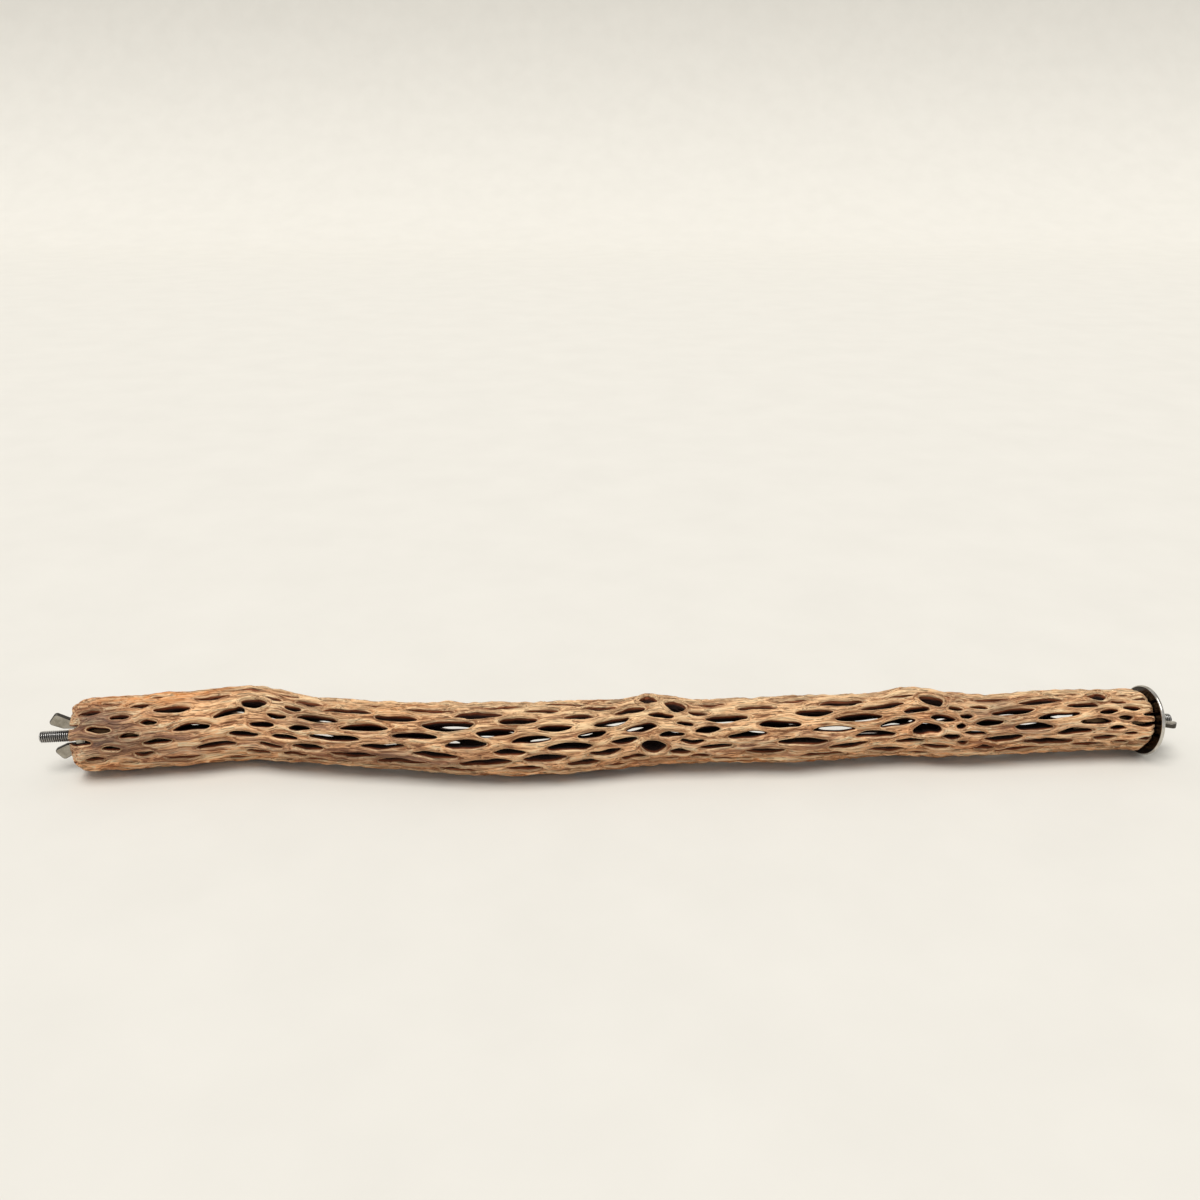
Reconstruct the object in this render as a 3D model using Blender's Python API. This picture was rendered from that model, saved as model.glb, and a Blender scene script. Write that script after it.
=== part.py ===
"""A dried cholla branch, the wooden skeleton of a cactus, fitted out as a bird perch.

The wood is one hollow net, grown in one piece. A hardwood plug in each end of its core holds a
threaded stud, and each stud carries a washer and a wing nut.

Units are metres and degrees. +X runs along the branch and +Z is up. The branch lies on a level
surface at z = 0, with its left end turned to -X. Angles round the branch start at its top and
grow towards its front, which is -Y.
"""

import math

import bmesh
import bpy
import numpy as np
from mathutils import Matrix, Vector
from mathutils.geometry import delaunay_2d_cdt

MM = 0.001
GAP = 0.3 * MM

# The wood: its sawn ends, and how far the ends' edges are worn round
WOOD_LEFT = -215.1 * MM
WOOD_RIGHT = 216.6 * MM
WALL = 4.8 * MM
LEFT_ROUNDING = 2.0 * MM
RIGHT_ROUNDING = 2.6 * MM
ROUNDING_REACH = 3.5 * MM
ROUNDING_POWER = 1.5
MOST_WORN = 1.15

# The branch's line in plan and its girth: place along it, sideways bend and outer radius, in mm
BRANCH = (
    (-226, -7.2, 15.1), (-211, -5.4, 15.1), (-196, -3.7, 15.2), (-180, -0.8, 15.7),
    (-165, 1.7, 15.7), (-149, 4.9, 15.8), (-137, 2.4, 15.3), (-124, -0.7, 14.4),
    (-107, -3.4, 14.0), (-87, -5.5, 14.2), (-54, -8.0, 15.2), (-35, -7.8, 15.3),
    (-17, -6.5, 15.0), (1, -3.5, 14.6), (14, -0.2, 15.0), (31, -1.5, 13.8),
    (50, -0.4, 13.6), (68, -0.2, 14.1), (88, 2.7, 14.0), (107, 4.8, 13.8),
    (119, 7.3, 15.0), (136, 4.7, 13.9), (145, 4.3, 13.2), (175, 7.5, 13.4),
    (201, 9.2, 13.1), (226, 8.8, 13.4),
)
LEFT_HEIGHT = 15.5 * MM
# At the right end the wood rests on its washer's rim
RIGHT_HEIGHT = 14.38 * MM

# The holes of the net follow each other on a spiral, as the cactus set them: each is a golden
# angle on from the last. They crowd where growth paused. Each station is a hole's number, its
# place along the branch in mm, and how far the spiral has drifted there in degrees.
GOLDEN_ANGLE = 180.0 * (3.0 - math.sqrt(5.0))
FIRST_HOLE_ANGLE = 159.0
GROWTH = (
    (-8, -222, -6), (0, -217.5, -7), (8, -212, -9), (19, -202, -10), (29, -193, -10), (37, -186, -9),
    (45, -180.5, -9), (53, -167, -8), (61, -153.5, -6), (69, -144.5, -3), (80, -136, 0),
    (92, -127, 4), (100, -121.5, 5), (108, -111, 4), (121, -91.5, 2), (137, -65.5, 0),
    (150, -47, -1), (163, -33, -1), (179, -14.5, 1), (192, -1.5, 4), (205, 10.5, 7),
    (218, 22, 7), (231, 30, 6), (244, 39.5, 4), (257, 59, 4), (270, 83, 6),
    (283, 99.5, 8), (296, 115, 11), (310, 127, 10), (323, 136, 8), (336, 140, 9),
    (352, 152, 9), (362, 167.5, 9), (370, 178.5, 10), (380, 191, 11), (388, 197.5, 12),
    (400, 204.5, 12), (412, 209.5, 12), (425, 219, 11), (433, 226, 11),
)
STEP_SMOOTHING = 9

# A hole is long where the spiral climbs fast, and short where it crowds
HOLE_LENGTH = 13.2 * MM
HOLE_LENGTH_POWER = 1.1
LONGEST_HOLE = 18.0 * MM
SHORTEST_HOLE = 3.2 * MM
NARROWEST_HOLE = 1.6 * MM
WIDTH_PER_LENGTH = 0.095
HOLE_SLANT = 3.0
SLANT_SPREAD = 3.0
SIZE_SPREAD = 0.10
PLACE_SPREAD = 0.35 * MM
SPREAD_SEED = 7

# The narrowest strand between two holes, and how the holes shrink until every strand has it
STRAND_LEAST = 1.5 * MM
SHRINK_ROUNDS = 40
LENGTH_SHRINK = 0.95
WIDTH_SHRINK = 0.97
EDGE_STEPS = 4

# Holes that stand out on this branch: number, length and width in mm
LARGE_HOLES = ((69, 12.5, 4.8), (208, 8.5, 6.2), (210, 10.5, 5.4), (221, 10.0, 6.0),
               (307, 12.0, 5.2), (310, 10.5, 6.0), (386, 10.0, 6.0))
# A short hole has fewer corners, and the longest have six
HEXAGON = 6
CORNERS_BY_LENGTH = ((5.5 * MM, 4), (9.5 * MM, 5), (math.inf, HEXAGON))

# The sheet that the net is cut from, unrolled, reaches this far past the ends
SHEET_MARGIN = 5.0 * MM
SHEET_RADIUS = 14.4 * MM
RIM_POINTS = 16
MERGE_DISTANCE = 1e-5

# Each end's axis is turned in plan by this much, and it falls towards its tip by the other angle.
# The saw cuts square to it.
LEFT_TURN = 7.0
RIGHT_TURN = 8.0
LEFT_FALL = 0.0
RIGHT_FALL = 3.0
SAW_REACH = 50.0 * MM

# The fittings
SIDES = 32

STUD_RADIUS = 2.4 * MM
STUD_DEPTH = 20.0 * MM
STUD_CHAMFER = 0.5 * MM
STUD_POINT = 4.0 * MM
STUD_POINT_RADIUS = 1.0 * MM
LEFT_STUD_REACH = 14.6 * MM
RIGHT_STUD_REACH = 13.1 * MM

PLUG_LENGTH = 25.0 * MM
LEFT_PLUG_RECESS = 5.7 * MM
RIGHT_PLUG_RECESS = 0.6 * MM
PLUG_CHAMFER = 0.6 * MM
LEFT_PLUG_RADIUS = 8.8 * MM
RIGHT_PLUG_RADIUS = 6.7 * MM

WASHER_BORE = 2.8 * MM
# The left washer bears on the plug, deep in the core; the right one on the whole sawn end
LEFT_WASHER_SEAT = -5.4 * MM
RIGHT_WASHER_SEAT = GAP
WASHER_CHAMFER = 0.25 * MM
LEFT_WASHER_RADIUS = 7.5 * MM
LEFT_WASHER_THICKNESS = 1.2 * MM
RIGHT_WASHER_RADIUS = 14.3 * MM
RIGHT_WASHER_THICKNESS = 1.5 * MM
WASHER_SIDES = 48

NUT_BORE = 2.75 * MM
NUT_BASE_RADIUS = 4.8 * MM
NUT_TOP_RADIUS = 4.3 * MM
NUT_HEIGHT = 4.0 * MM
NUT_CHAMFER = 0.4 * MM
WING_THICKNESS = 1.9 * MM
# A wing's outline: distance out from the nut's base, distance from its axis, and corner radius.
# The left nut sits in the hollow end, and its wings are the taller ones.
LEFT_WING = (
    (0.6, 3.3, 0.0), (0.9, 5.0, 0.8), (10.9, 10.6, 1.4), (14.4, 6.1, 1.3), (9.0, 3.6, 1.0),
    (3.5, 3.3, 0.0),
)
RIGHT_WING = (
    (0.6, 3.3, 0.0), (1.2, 6.2, 1.0), (6.9, 10.3, 1.4), (10.5, 5.9, 1.3), (5.2, 3.6, 1.0),
    (3.5, 3.3, 0.0),
)
WING_CORNER_STEPS = 4
LEFT_WING_ROLL = -2.0
RIGHT_WING_ROLL = -100.5

WOOD_COLOUR = (0.56, 0.36, 0.21)
PLUG_COLOUR = (0.62, 0.45, 0.27)
STEEL_COLOUR = (0.56, 0.55, 0.53)
DARK_STEEL_COLOUR = (0.34, 0.34, 0.34)


def clear_scene():
    """Remove every object, so that the scene holds only this model."""
    for item in list(bpy.data.objects):
        bpy.data.objects.remove(item, do_unlink=True)


def material(name, colour, roughness, metallic=0.0):
    """Make a plain surface of one colour."""
    made = bpy.data.materials.new(name)
    made.use_nodes = True
    surface = made.node_tree.nodes["Principled BSDF"]
    surface.inputs["Base Color"].default_value = (*colour, 1.0)
    surface.inputs["Roughness"].default_value = roughness
    surface.inputs["Metallic"].default_value = metallic
    return made


def add_object(name, mesh, surface=None, parent=None):
    """Link a mesh into the scene as an object."""
    made = bpy.data.objects.new(name, mesh)
    bpy.context.collection.objects.link(made)
    if surface is not None and not mesh.materials:
        mesh.materials.append(surface)
    made.parent = parent
    return made


def mesh_from_bmesh(name, body, sharp_degrees=None):
    """Turn a bmesh into a mesh, shaded smooth up to the given edge angle."""
    mesh = bpy.data.meshes.new(name)
    body.to_mesh(mesh)
    body.free()
    if sharp_degrees is not None:
        mesh.shade_smooth()
        mesh.set_sharp_from_angle(angle=math.radians(sharp_degrees))
    return mesh


def cut(target, cutter, operation="DIFFERENCE"):
    """Cut one object with another, which is then only a guide."""
    cutter.hide_render = True
    cutter.display_type = "WIRE"
    step = target.modifiers.new(cutter.name, "BOOLEAN")
    step.object = cutter
    step.operation = operation
    step.solver = "EXACT"


def smooth_curve(at, stations, column):
    """Read one column of the stations at the given places, on a curve through every station."""
    table = np.array(stations, dtype=float) * MM
    places = table[:, 0]
    values = table[:, column]
    slopes = np.gradient(values, places)
    last = len(places) - 2
    span = np.clip(np.searchsorted(places, at, side="right") - 1, 0, last)
    width = places[span + 1] - places[span]
    t = (at - places[span]) / width
    start = (1 + 2 * t) * (1 - t) ** 2 * values[span] + t * (1 - t) ** 2 * width * slopes[span]
    end = t**2 * (3 - 2 * t) * values[span + 1] - t**2 * (1 - t) * width * slopes[span + 1]
    return start + end


def branch_height(at):
    """The height of the branch's line, which falls evenly from the left end to the right."""
    share = (at - WOOD_LEFT) / (WOOD_RIGHT - WOOD_LEFT)
    return LEFT_HEIGHT + (RIGHT_HEIGHT - LEFT_HEIGHT) * share


def worn_edge(at):
    """How much the worn ends take off the radius at a place along the branch."""
    from_left = np.clip(1 - (at - WOOD_LEFT) / ROUNDING_REACH, 0, MOST_WORN)
    from_right = np.clip(1 - (WOOD_RIGHT - at) / ROUNDING_REACH, 0, MOST_WORN)
    return LEFT_ROUNDING * from_left**ROUNDING_POWER + RIGHT_ROUNDING * from_right**ROUNDING_POWER


def on_branch(at, angle, depth):
    """Points on the branch, at places along it, angles round it and a depth below its outside."""
    radius = smooth_curve(at, BRANCH, 2) - worn_edge(at) * (depth < WALL / 2) - depth
    turn = np.radians(angle)
    return np.stack((
        at,
        smooth_curve(at, BRANCH, 1) - radius * np.sin(turn),
        branch_height(at) + radius * np.cos(turn),
    ), axis=-1)


def hole_plan():
    """Place the holes of the net: for each its place, angle, length, width and slant."""
    table = np.array(GROWTH, dtype=float)
    number = np.arange(int(table[0, 0]), int(table[-1, 0]) + 1)
    place = np.interp(number, table[:, 0], table[:, 1]) * MM
    drift = np.interp(number, table[:, 0], table[:, 2])
    angle = np.mod(FIRST_HOLE_ANGLE - number * GOLDEN_ANGLE + drift, 360.0)
    average = np.ones(STEP_SMOOTHING) / STEP_SMOOTHING
    climb = np.convolve(np.gradient(place), average, mode="same") / MM
    draw = np.random.default_rng(SPREAD_SEED)
    length = HOLE_LENGTH * climb**HOLE_LENGTH_POWER
    length = np.clip(length, SHORTEST_HOLE, LONGEST_HOLE)
    length *= 1 + draw.uniform(-SIZE_SPREAD, SIZE_SPREAD, len(number))
    width = NARROWEST_HOLE + WIDTH_PER_LENGTH * length
    width *= 1 + draw.uniform(-SIZE_SPREAD, SIZE_SPREAD, len(number))
    slant = HOLE_SLANT + draw.uniform(-SLANT_SPREAD, SLANT_SPREAD, len(number))
    place = place + draw.uniform(-PLACE_SPREAD, PLACE_SPREAD, len(number))
    for large, long, wide in LARGE_HOLES:
        length[number == large] = long * MM
        width[number == large] = wide * MM
    return place, angle, length, width, slant


def hole_outlines(place, angle, length, width, slant):
    """Each hole's corners on the unrolled sheet: distance along it, and distance round it."""
    outlines = []
    around = np.radians(angle) * SHEET_RADIUS
    for at, across, long, wide, lean in zip(place, around, length, width, np.radians(slant)):
        corners = next(count for limit, count in CORNERS_BY_LENGTH if long <= limit)
        turn = np.arange(corners) * 2 * math.pi / corners
        x = long / 2 * np.cos(turn)
        y = wide / 2 * np.sin(turn)
        if corners == HEXAGON:
            y = y / math.sin(math.pi / 3)
        outlines.append(np.stack((
            at + x * math.cos(lean) - y * math.sin(lean),
            across + x * math.sin(lean) + y * math.cos(lean),
        ), axis=-1))
    return outlines


def edge_samples(outline):
    """Points spaced evenly along each edge of an outline."""
    edges = np.roll(outline, -1, axis=0) - outline
    return np.concatenate([outline + edges * step / EDGE_STEPS for step in range(EDGE_STEPS)])


def clear_holes(plan):
    """Shrink the holes until every strand between two of them is wide enough."""
    place, angle, length, width, slant = (column.copy() for column in plan)
    circumference = 2 * math.pi * SHEET_RADIUS
    for _ in range(SHRINK_ROUNDS):
        outlines = hole_outlines(place, angle, length, width, slant)
        outlines = [edge_samples(outline) for outline in outlines]
        middle = np.array([outline.mean(axis=0) for outline in outlines])
        tight = np.zeros(len(place), dtype=bool)
        for one, outline in enumerate(outlines):
            reach = np.abs(middle[:, 0] - middle[one, 0]) < LONGEST_HOLE + STRAND_LEAST
            for other in np.flatnonzero(reach):
                if other <= one:
                    continue
                gap = outline[:, None, :] - outlines[other][None, :, :]
                gap[..., 1] = (gap[..., 1] + circumference / 2) % circumference - circumference / 2
                if np.hypot(gap[..., 0], gap[..., 1]).min() < STRAND_LEAST:
                    tight[one] = True
                    tight[other] = True
        if not tight.any():
            break
        length[tight] *= LENGTH_SHRINK
        width[tight] *= WIDTH_SHRINK
    return place, angle, length, width, slant


def unrolled_net():
    """Triangulate the sheet between the holes.

    Returns the sheet's points, as distance along and distance round, and its triangles. The sheet
    closes on itself round the branch: it is triangulated three times side by side, and each
    triangle is kept once.
    """
    circumference = 2 * math.pi * SHEET_RADIUS
    left = WOOD_LEFT - SHEET_MARGIN
    right = WOOD_RIGHT + SHEET_MARGIN
    holes = [
        outline for outline in hole_outlines(*clear_holes(hole_plan()))
        if outline[:, 0].min() > left + STRAND_LEAST and outline[:, 0].max() < right - STRAND_LEAST
    ]
    around = np.arange(RIM_POINTS) * circumference / RIM_POINTS
    rims = [np.stack((np.full(RIM_POINTS, at), around), axis=-1)
            for at in (left, WOOD_LEFT + ROUNDING_REACH, WOOD_RIGHT - ROUNDING_REACH, right)]
    points = np.concatenate(holes + rims)
    starts = np.cumsum([0] + [len(outline) for outline in holes])
    total = len(points)
    copies = []
    faces = []
    for copy in range(3):
        copies.append(points + (0, (copy - 1) * circumference))
        faces += [list(range(start + copy * total, start + copy * total + len(outline)))
                  for start, outline in zip(starts, holes)]
    flat = [Vector(point / MM) for point in np.concatenate(copies)]
    _, _, triangles, sources, _, inside = delaunay_2d_cdt(flat, [], faces, 0, MERGE_DISTANCE)
    kept = set()
    for triangle, holes_there in zip(triangles, inside):
        if holes_there:
            continue
        corners = [sources[corner][0] for corner in triangle]
        turns = [corner // total for corner in corners]
        if 1 not in turns:
            continue
        lowest = min(turns)
        kept.add(tuple((corner % total, turn - lowest) for corner, turn in zip(corners, turns)))
    unique = {}
    for triangle in kept:
        unique.setdefault(frozenset(triangle), triangle)
    return points, [tuple(corner for corner, _ in unique[key]) for key in sorted(unique, key=sorted)]


def net_mesh():
    """The net before its ends are sawn: the sheet rolled up on the branch, with its wall."""
    points, triangles = unrolled_net()
    body = bmesh.new()
    angle = np.degrees(points[:, 1] / SHEET_RADIUS)
    used = sorted({corner for triangle in triangles for corner in triangle})
    outside = on_branch(points[:, 0], angle, np.zeros(len(points)))
    inside = on_branch(points[:, 0], angle, np.full(len(points), WALL))
    outer = {index: body.verts.new(outside[index]) for index in used}
    for triangle in triangles:
        body.faces.new([outer[corner] for corner in triangle])
    inner_of = {vertex: inside[index] for index, vertex in outer.items()}
    before = set(body.verts)
    grown = bmesh.ops.extrude_face_region(body, geom=list(body.faces), use_keep_orig=True)
    new_verts = [item for item in grown["geom"] if isinstance(item, bmesh.types.BMVert)]
    by_place = {vertex.co.copy().freeze(): vertex for vertex in before}
    for vertex in new_verts:
        vertex.co = inner_of[by_place[vertex.co.copy().freeze()]]
    bmesh.ops.recalc_face_normals(body, faces=list(body.faces))
    return mesh_from_bmesh("cholla_wood", body)


def core_point(place):
    """The point on the branch's line at a place along it."""
    bend = smooth_curve(np.array([place]), BRANCH, 1)[0]
    return Vector((place, bend, branch_height(place)))


def end_axis(side):
    """The middle of a sawn end, and the direction that points out of it."""
    if side < 0:
        place, turn, fall = WOOD_LEFT, math.radians(LEFT_TURN), math.radians(LEFT_FALL)
    else:
        place, turn, fall = WOOD_RIGHT, math.radians(RIGHT_TURN), math.radians(RIGHT_FALL)
    level = Vector((math.cos(turn), math.sin(turn), 0)) * side
    return core_point(place), level * math.cos(fall) - Vector((0, 0, math.sin(fall)))


def end_empty(side):
    """An empty in the middle of a sawn end: +Z points out along the stud, and +Y is level."""
    middle, direction = end_axis(side)
    empty = bpy.data.objects.new("left_end" if side < 0 else "right_end", None)
    bpy.context.collection.objects.link(empty)
    across = direction.cross(Vector((0, 0, 1))).normalized()
    frame = Matrix((across.cross(direction), across, direction)).transposed()
    empty.matrix_world = Matrix.Translation(middle) @ frame.to_4x4()
    return empty


def saw_block():
    """The block that the wood is sawn to: its ends, and the level it lies on."""
    body = bmesh.new()
    corners = []
    for side in (-1, 1):
        middle, direction = end_axis(side)
        for y in (-SAW_REACH, SAW_REACH):
            for z in (0.0, SAW_REACH):
                aside = direction.y * (y - middle.y) + direction.z * (z - middle.z)
                corners.append(body.verts.new((middle.x - aside / direction.x, y, z)))
    bmesh.ops.convex_hull(body, input=corners)
    bmesh.ops.recalc_face_normals(body, faces=list(body.faces))
    return add_object("saw_block", mesh_from_bmesh("saw_block", body))


def cholla_wood():
    """The wooden net of the branch, one solid."""
    surface = material("cholla_wood", WOOD_COLOUR, roughness=0.8)
    wood = add_object("cholla_wood", net_mesh(), surface)
    cut(wood, saw_block(), "INTERSECT")
    return wood


def turned(name, profile, sides, sharp_degrees=30):
    """Turn a closed profile of (radius, height) points round the Z axis.

    A profile whose first and last points lie on the axis makes a solid rod; any other makes a ring.
    """
    body = bmesh.new()
    solid = profile[0][0] == 0
    rings = []
    for radius, height in profile:
        if radius == 0:
            rings.append([body.verts.new((0, 0, height))])
            continue
        rings.append([
            body.verts.new((radius * math.cos(turn), radius * math.sin(turn), height))
            for turn in (2 * math.pi * side / sides for side in range(sides))
        ])
    pairs = list(zip(rings, rings[1:]))
    if not solid:
        pairs.append((rings[-1], rings[0]))
    for low, high in pairs:
        for side in range(sides):
            after = (side + 1) % sides
            if len(low) == 1:
                body.faces.new((low[0], high[after], high[side]))
            elif len(high) == 1:
                body.faces.new((low[side], low[after], high[0]))
            else:
                body.faces.new((low[side], low[after], high[after], high[side]))
    bmesh.ops.recalc_face_normals(body, faces=list(body.faces))
    return mesh_from_bmesh(name, body, sharp_degrees)


def stud(name, end, reach, surface):
    """A threaded stud, level with its end's axis, from a point in the plug to its free tip."""
    profile = (
        (0, -STUD_DEPTH),
        (STUD_POINT_RADIUS, -STUD_DEPTH),
        (STUD_RADIUS, STUD_POINT - STUD_DEPTH),
        (STUD_RADIUS, reach - STUD_CHAMFER),
        (STUD_RADIUS - STUD_CHAMFER, reach),
        (0, reach),
    )
    return add_object(name, turned(name, profile, SIDES), surface, end)


def washer(name, end, seat, radius, thickness, surface):
    """A flat washer, whose inner face is a distance out from the sawn end."""
    low = seat
    high = seat + thickness
    soft = WASHER_CHAMFER
    profile = (
        (WASHER_BORE, low), (radius - soft, low), (radius, low + soft),
        (radius, high - soft), (radius - soft, high), (WASHER_BORE, high),
    )
    return add_object(name, turned(name, profile, WASHER_SIDES), surface, end)


def plug(name, end, side, radius, recess, surface):
    """A hardwood plug along the core, a little below the sawn end, drilled for the stud."""
    profile = (
        (0, -PLUG_LENGTH / 2), (radius - PLUG_CHAMFER, -PLUG_LENGTH / 2),
        (radius, PLUG_CHAMFER - PLUG_LENGTH / 2), (radius, PLUG_LENGTH / 2 - PLUG_CHAMFER),
        (radius - PLUG_CHAMFER, PLUG_LENGTH / 2), (0, PLUG_LENGTH / 2),
    )
    made = add_object(name, turned(name, profile, SIDES), surface)
    end_place = end.matrix_world.translation.x
    deep = core_point(end_place - side * (recess + PLUG_LENGTH))
    shallow = core_point(end_place - side * recess)
    made.rotation_euler = (shallow - deep).to_track_quat("Z", "Y").to_euler()
    made.location = (deep + shallow) / 2
    bore = (
        (0, -2 * PLUG_LENGTH), (STUD_RADIUS + GAP, -2 * PLUG_LENGTH),
        (STUD_RADIUS + GAP, PLUG_LENGTH), (0, PLUG_LENGTH),
    )
    drill = add_object(name + "_drill", turned(name + "_drill", bore, SIDES), parent=end)
    cut(made, drill)
    return made


def rounded_outline(corners):
    """Replace each corner of an outline by an arc of its radius."""
    points = []
    count = len(corners)
    for index, (out, off, radius) in enumerate(corners):
        corner = Vector((out, off)) * MM
        if radius == 0:
            points.append(corner)
            continue
        before = (Vector(corners[index - 1][:2]) * MM - corner).normalized()
        after = (Vector(corners[(index + 1) % count][:2]) * MM - corner).normalized()
        half = before.angle(after) / 2
        setback = radius * MM / math.tan(half)
        middle = corner + (before + after).normalized() * radius * MM / math.sin(half)
        start = corner + before * setback - middle
        end = corner + after * setback - middle
        sweep = start.angle_signed(end)
        for step in range(WING_CORNER_STEPS + 1):
            turn = -sweep * step / WING_CORNER_STEPS
            spun = Vector((
                start.x * math.cos(turn) - start.y * math.sin(turn),
                start.x * math.sin(turn) + start.y * math.cos(turn),
            ))
            points.append(middle + spun)
    return points


def wing_mesh(side, wing):
    """One wing of a nut: its outline, extruded to its thickness."""
    body = bmesh.new()
    near = -WING_THICKNESS / 2
    corners = [body.verts.new((side * point.y, near, point.x)) for point in rounded_outline(wing)]
    face = body.faces.new(corners)
    grown = bmesh.ops.extrude_face_region(body, geom=[face], use_keep_orig=True)
    raised = [item for item in grown["geom"] if isinstance(item, bmesh.types.BMVert)]
    bmesh.ops.translate(body, verts=raised, vec=(0, WING_THICKNESS, 0))
    bmesh.ops.recalc_face_normals(body, faces=list(body.faces))
    return mesh_from_bmesh("wing", body)


def wing_nut(name, end, seat, roll, wing, surface):
    """A wing nut, whose origin is on its axis in the plane that it bears on."""
    soft = NUT_CHAMFER
    profile = (
        (NUT_BORE, 0), (NUT_BASE_RADIUS - soft, 0), (NUT_BASE_RADIUS, soft),
        (NUT_TOP_RADIUS, NUT_HEIGHT - soft), (NUT_TOP_RADIUS - soft, NUT_HEIGHT),
        (NUT_BORE, NUT_HEIGHT),
    )
    nut = add_object(name, turned(name, profile, SIDES), surface, end)
    nut.location = (0, 0, seat)
    nut.rotation_euler = (0, 0, math.radians(roll))
    for side in (-1, 1):
        wing_name = name + ("_first_wing" if side < 0 else "_second_wing")
        cut(nut, add_object(wing_name, wing_mesh(side, wing), parent=nut), "UNION")
    return nut


def end_fittings(name, side, nut_sizes, washer_sizes, plug_sizes, reach, surfaces):
    """Everything at one end of the branch: its plug, stud, washer and wing nut."""
    plug_surface, stud_surface, steel_surface = surfaces
    washer_seat, _, washer_thickness = washer_sizes
    end = end_empty(side)
    bpy.context.view_layer.update()
    plug(name + "_plug", end, side, *plug_sizes, plug_surface)
    stud(name + "_stud", end, reach, stud_surface)
    washer(name + "_washer", end, *washer_sizes, steel_surface)
    wing_nut(name + "_wing_nut", end, washer_seat + washer_thickness + GAP, *nut_sizes, steel_surface)


def main():
    """Build every piece of the perch."""
    clear_scene()
    cholla_wood()
    surfaces = (
        material("plug_wood", PLUG_COLOUR, roughness=0.7),
        material("stud_steel", DARK_STEEL_COLOUR, roughness=0.35, metallic=1.0),
        material("zinc_steel", STEEL_COLOUR, roughness=0.4, metallic=1.0),
    )
    end_fittings(
        "left", -1, (LEFT_WING_ROLL, LEFT_WING),
        (LEFT_WASHER_SEAT, LEFT_WASHER_RADIUS, LEFT_WASHER_THICKNESS),
        (LEFT_PLUG_RADIUS, LEFT_PLUG_RECESS), LEFT_STUD_REACH, surfaces,
    )
    end_fittings(
        "right", 1, (RIGHT_WING_ROLL, RIGHT_WING),
        (RIGHT_WASHER_SEAT, RIGHT_WASHER_RADIUS, RIGHT_WASHER_THICKNESS),
        (RIGHT_PLUG_RADIUS, RIGHT_PLUG_RECESS), RIGHT_STUD_REACH, surfaces,
    )
    bpy.context.view_layer.update()


main()
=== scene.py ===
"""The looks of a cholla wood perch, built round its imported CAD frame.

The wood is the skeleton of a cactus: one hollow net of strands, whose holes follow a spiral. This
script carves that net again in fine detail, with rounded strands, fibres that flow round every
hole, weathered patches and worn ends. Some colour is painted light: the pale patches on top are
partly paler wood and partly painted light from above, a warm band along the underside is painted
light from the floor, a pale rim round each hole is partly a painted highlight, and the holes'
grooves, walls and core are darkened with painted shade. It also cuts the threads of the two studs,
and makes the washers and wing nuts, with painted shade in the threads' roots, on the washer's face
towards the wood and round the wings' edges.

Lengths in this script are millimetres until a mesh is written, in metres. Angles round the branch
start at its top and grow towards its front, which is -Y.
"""

import logging
import math
from collections.abc import Iterator
from dataclasses import dataclass, field
from enum import Enum
from functools import reduce

import bpy
import numpy as np
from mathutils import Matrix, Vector
from mathutils.geometry import delaunay_2d_cdt


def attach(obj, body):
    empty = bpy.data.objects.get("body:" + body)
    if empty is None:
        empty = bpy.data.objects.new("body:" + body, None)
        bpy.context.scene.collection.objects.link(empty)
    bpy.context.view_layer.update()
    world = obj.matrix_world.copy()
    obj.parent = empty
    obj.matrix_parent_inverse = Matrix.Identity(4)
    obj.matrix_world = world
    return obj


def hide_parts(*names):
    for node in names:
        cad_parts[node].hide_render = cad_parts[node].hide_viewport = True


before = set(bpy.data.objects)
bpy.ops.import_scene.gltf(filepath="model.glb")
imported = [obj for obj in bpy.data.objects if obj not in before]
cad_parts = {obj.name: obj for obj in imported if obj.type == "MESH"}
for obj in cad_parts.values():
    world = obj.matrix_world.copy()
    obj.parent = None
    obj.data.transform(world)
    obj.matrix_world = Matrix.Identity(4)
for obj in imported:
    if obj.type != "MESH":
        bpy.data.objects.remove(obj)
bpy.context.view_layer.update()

MM = 0.001
# Lengths nearer to each other than this are the same
SAME = 1e-6
log = logging.getLogger("perch")

Tone = tuple[int, int, int]
Triple = tuple[float, float, float]
Socket = bpy.types.NodeSocket


class End(Enum):
    """The two ends of the branch, by the sign of X that they point to."""

    LEFT = -1
    RIGHT = 1


# Shapes that several pieces use


@dataclass(frozen=True)
class Ripples:
    """Smooth unevenness: plane waves with random directions, lengths and starts, added up."""

    seed: int
    lengths: Triple
    waves: int = 28

    def at(self, points: np.ndarray) -> np.ndarray:
        """Read the unevenness at some points.

        Each wave is the sine of a random mix of the coordinates, each divided by its own length.

        Args:
            points: places in space, one to a row.

        Returns:
            A value for each point, mostly between -1 and 1.
        """
        draw = np.random.default_rng(self.seed)
        mix = draw.normal(size=(self.waves, 3)) * math.pi / np.array(self.lengths)
        start = draw.uniform(0.0, 2.0 * math.pi, self.waves)
        return np.sin(points @ mix.T + start).sum(axis=1) / math.sqrt(self.waves)

    def share(self, points: np.ndarray) -> np.ndarray:
        """The unevenness at some points as a share, from 0 to 1."""
        return np.clip(0.5 + 0.5 * self.at(points), 0, 1)


def smooth_step(low: float, high: float, value: np.ndarray) -> np.ndarray:
    """Rise smoothly from 0 at low to 1 at high: 3 t squared less 2 t cubed."""
    t = np.clip((value - low) / (high - low), 0.0, 1.0)
    return t * t * (3.0 - 2.0 * t)


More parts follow.
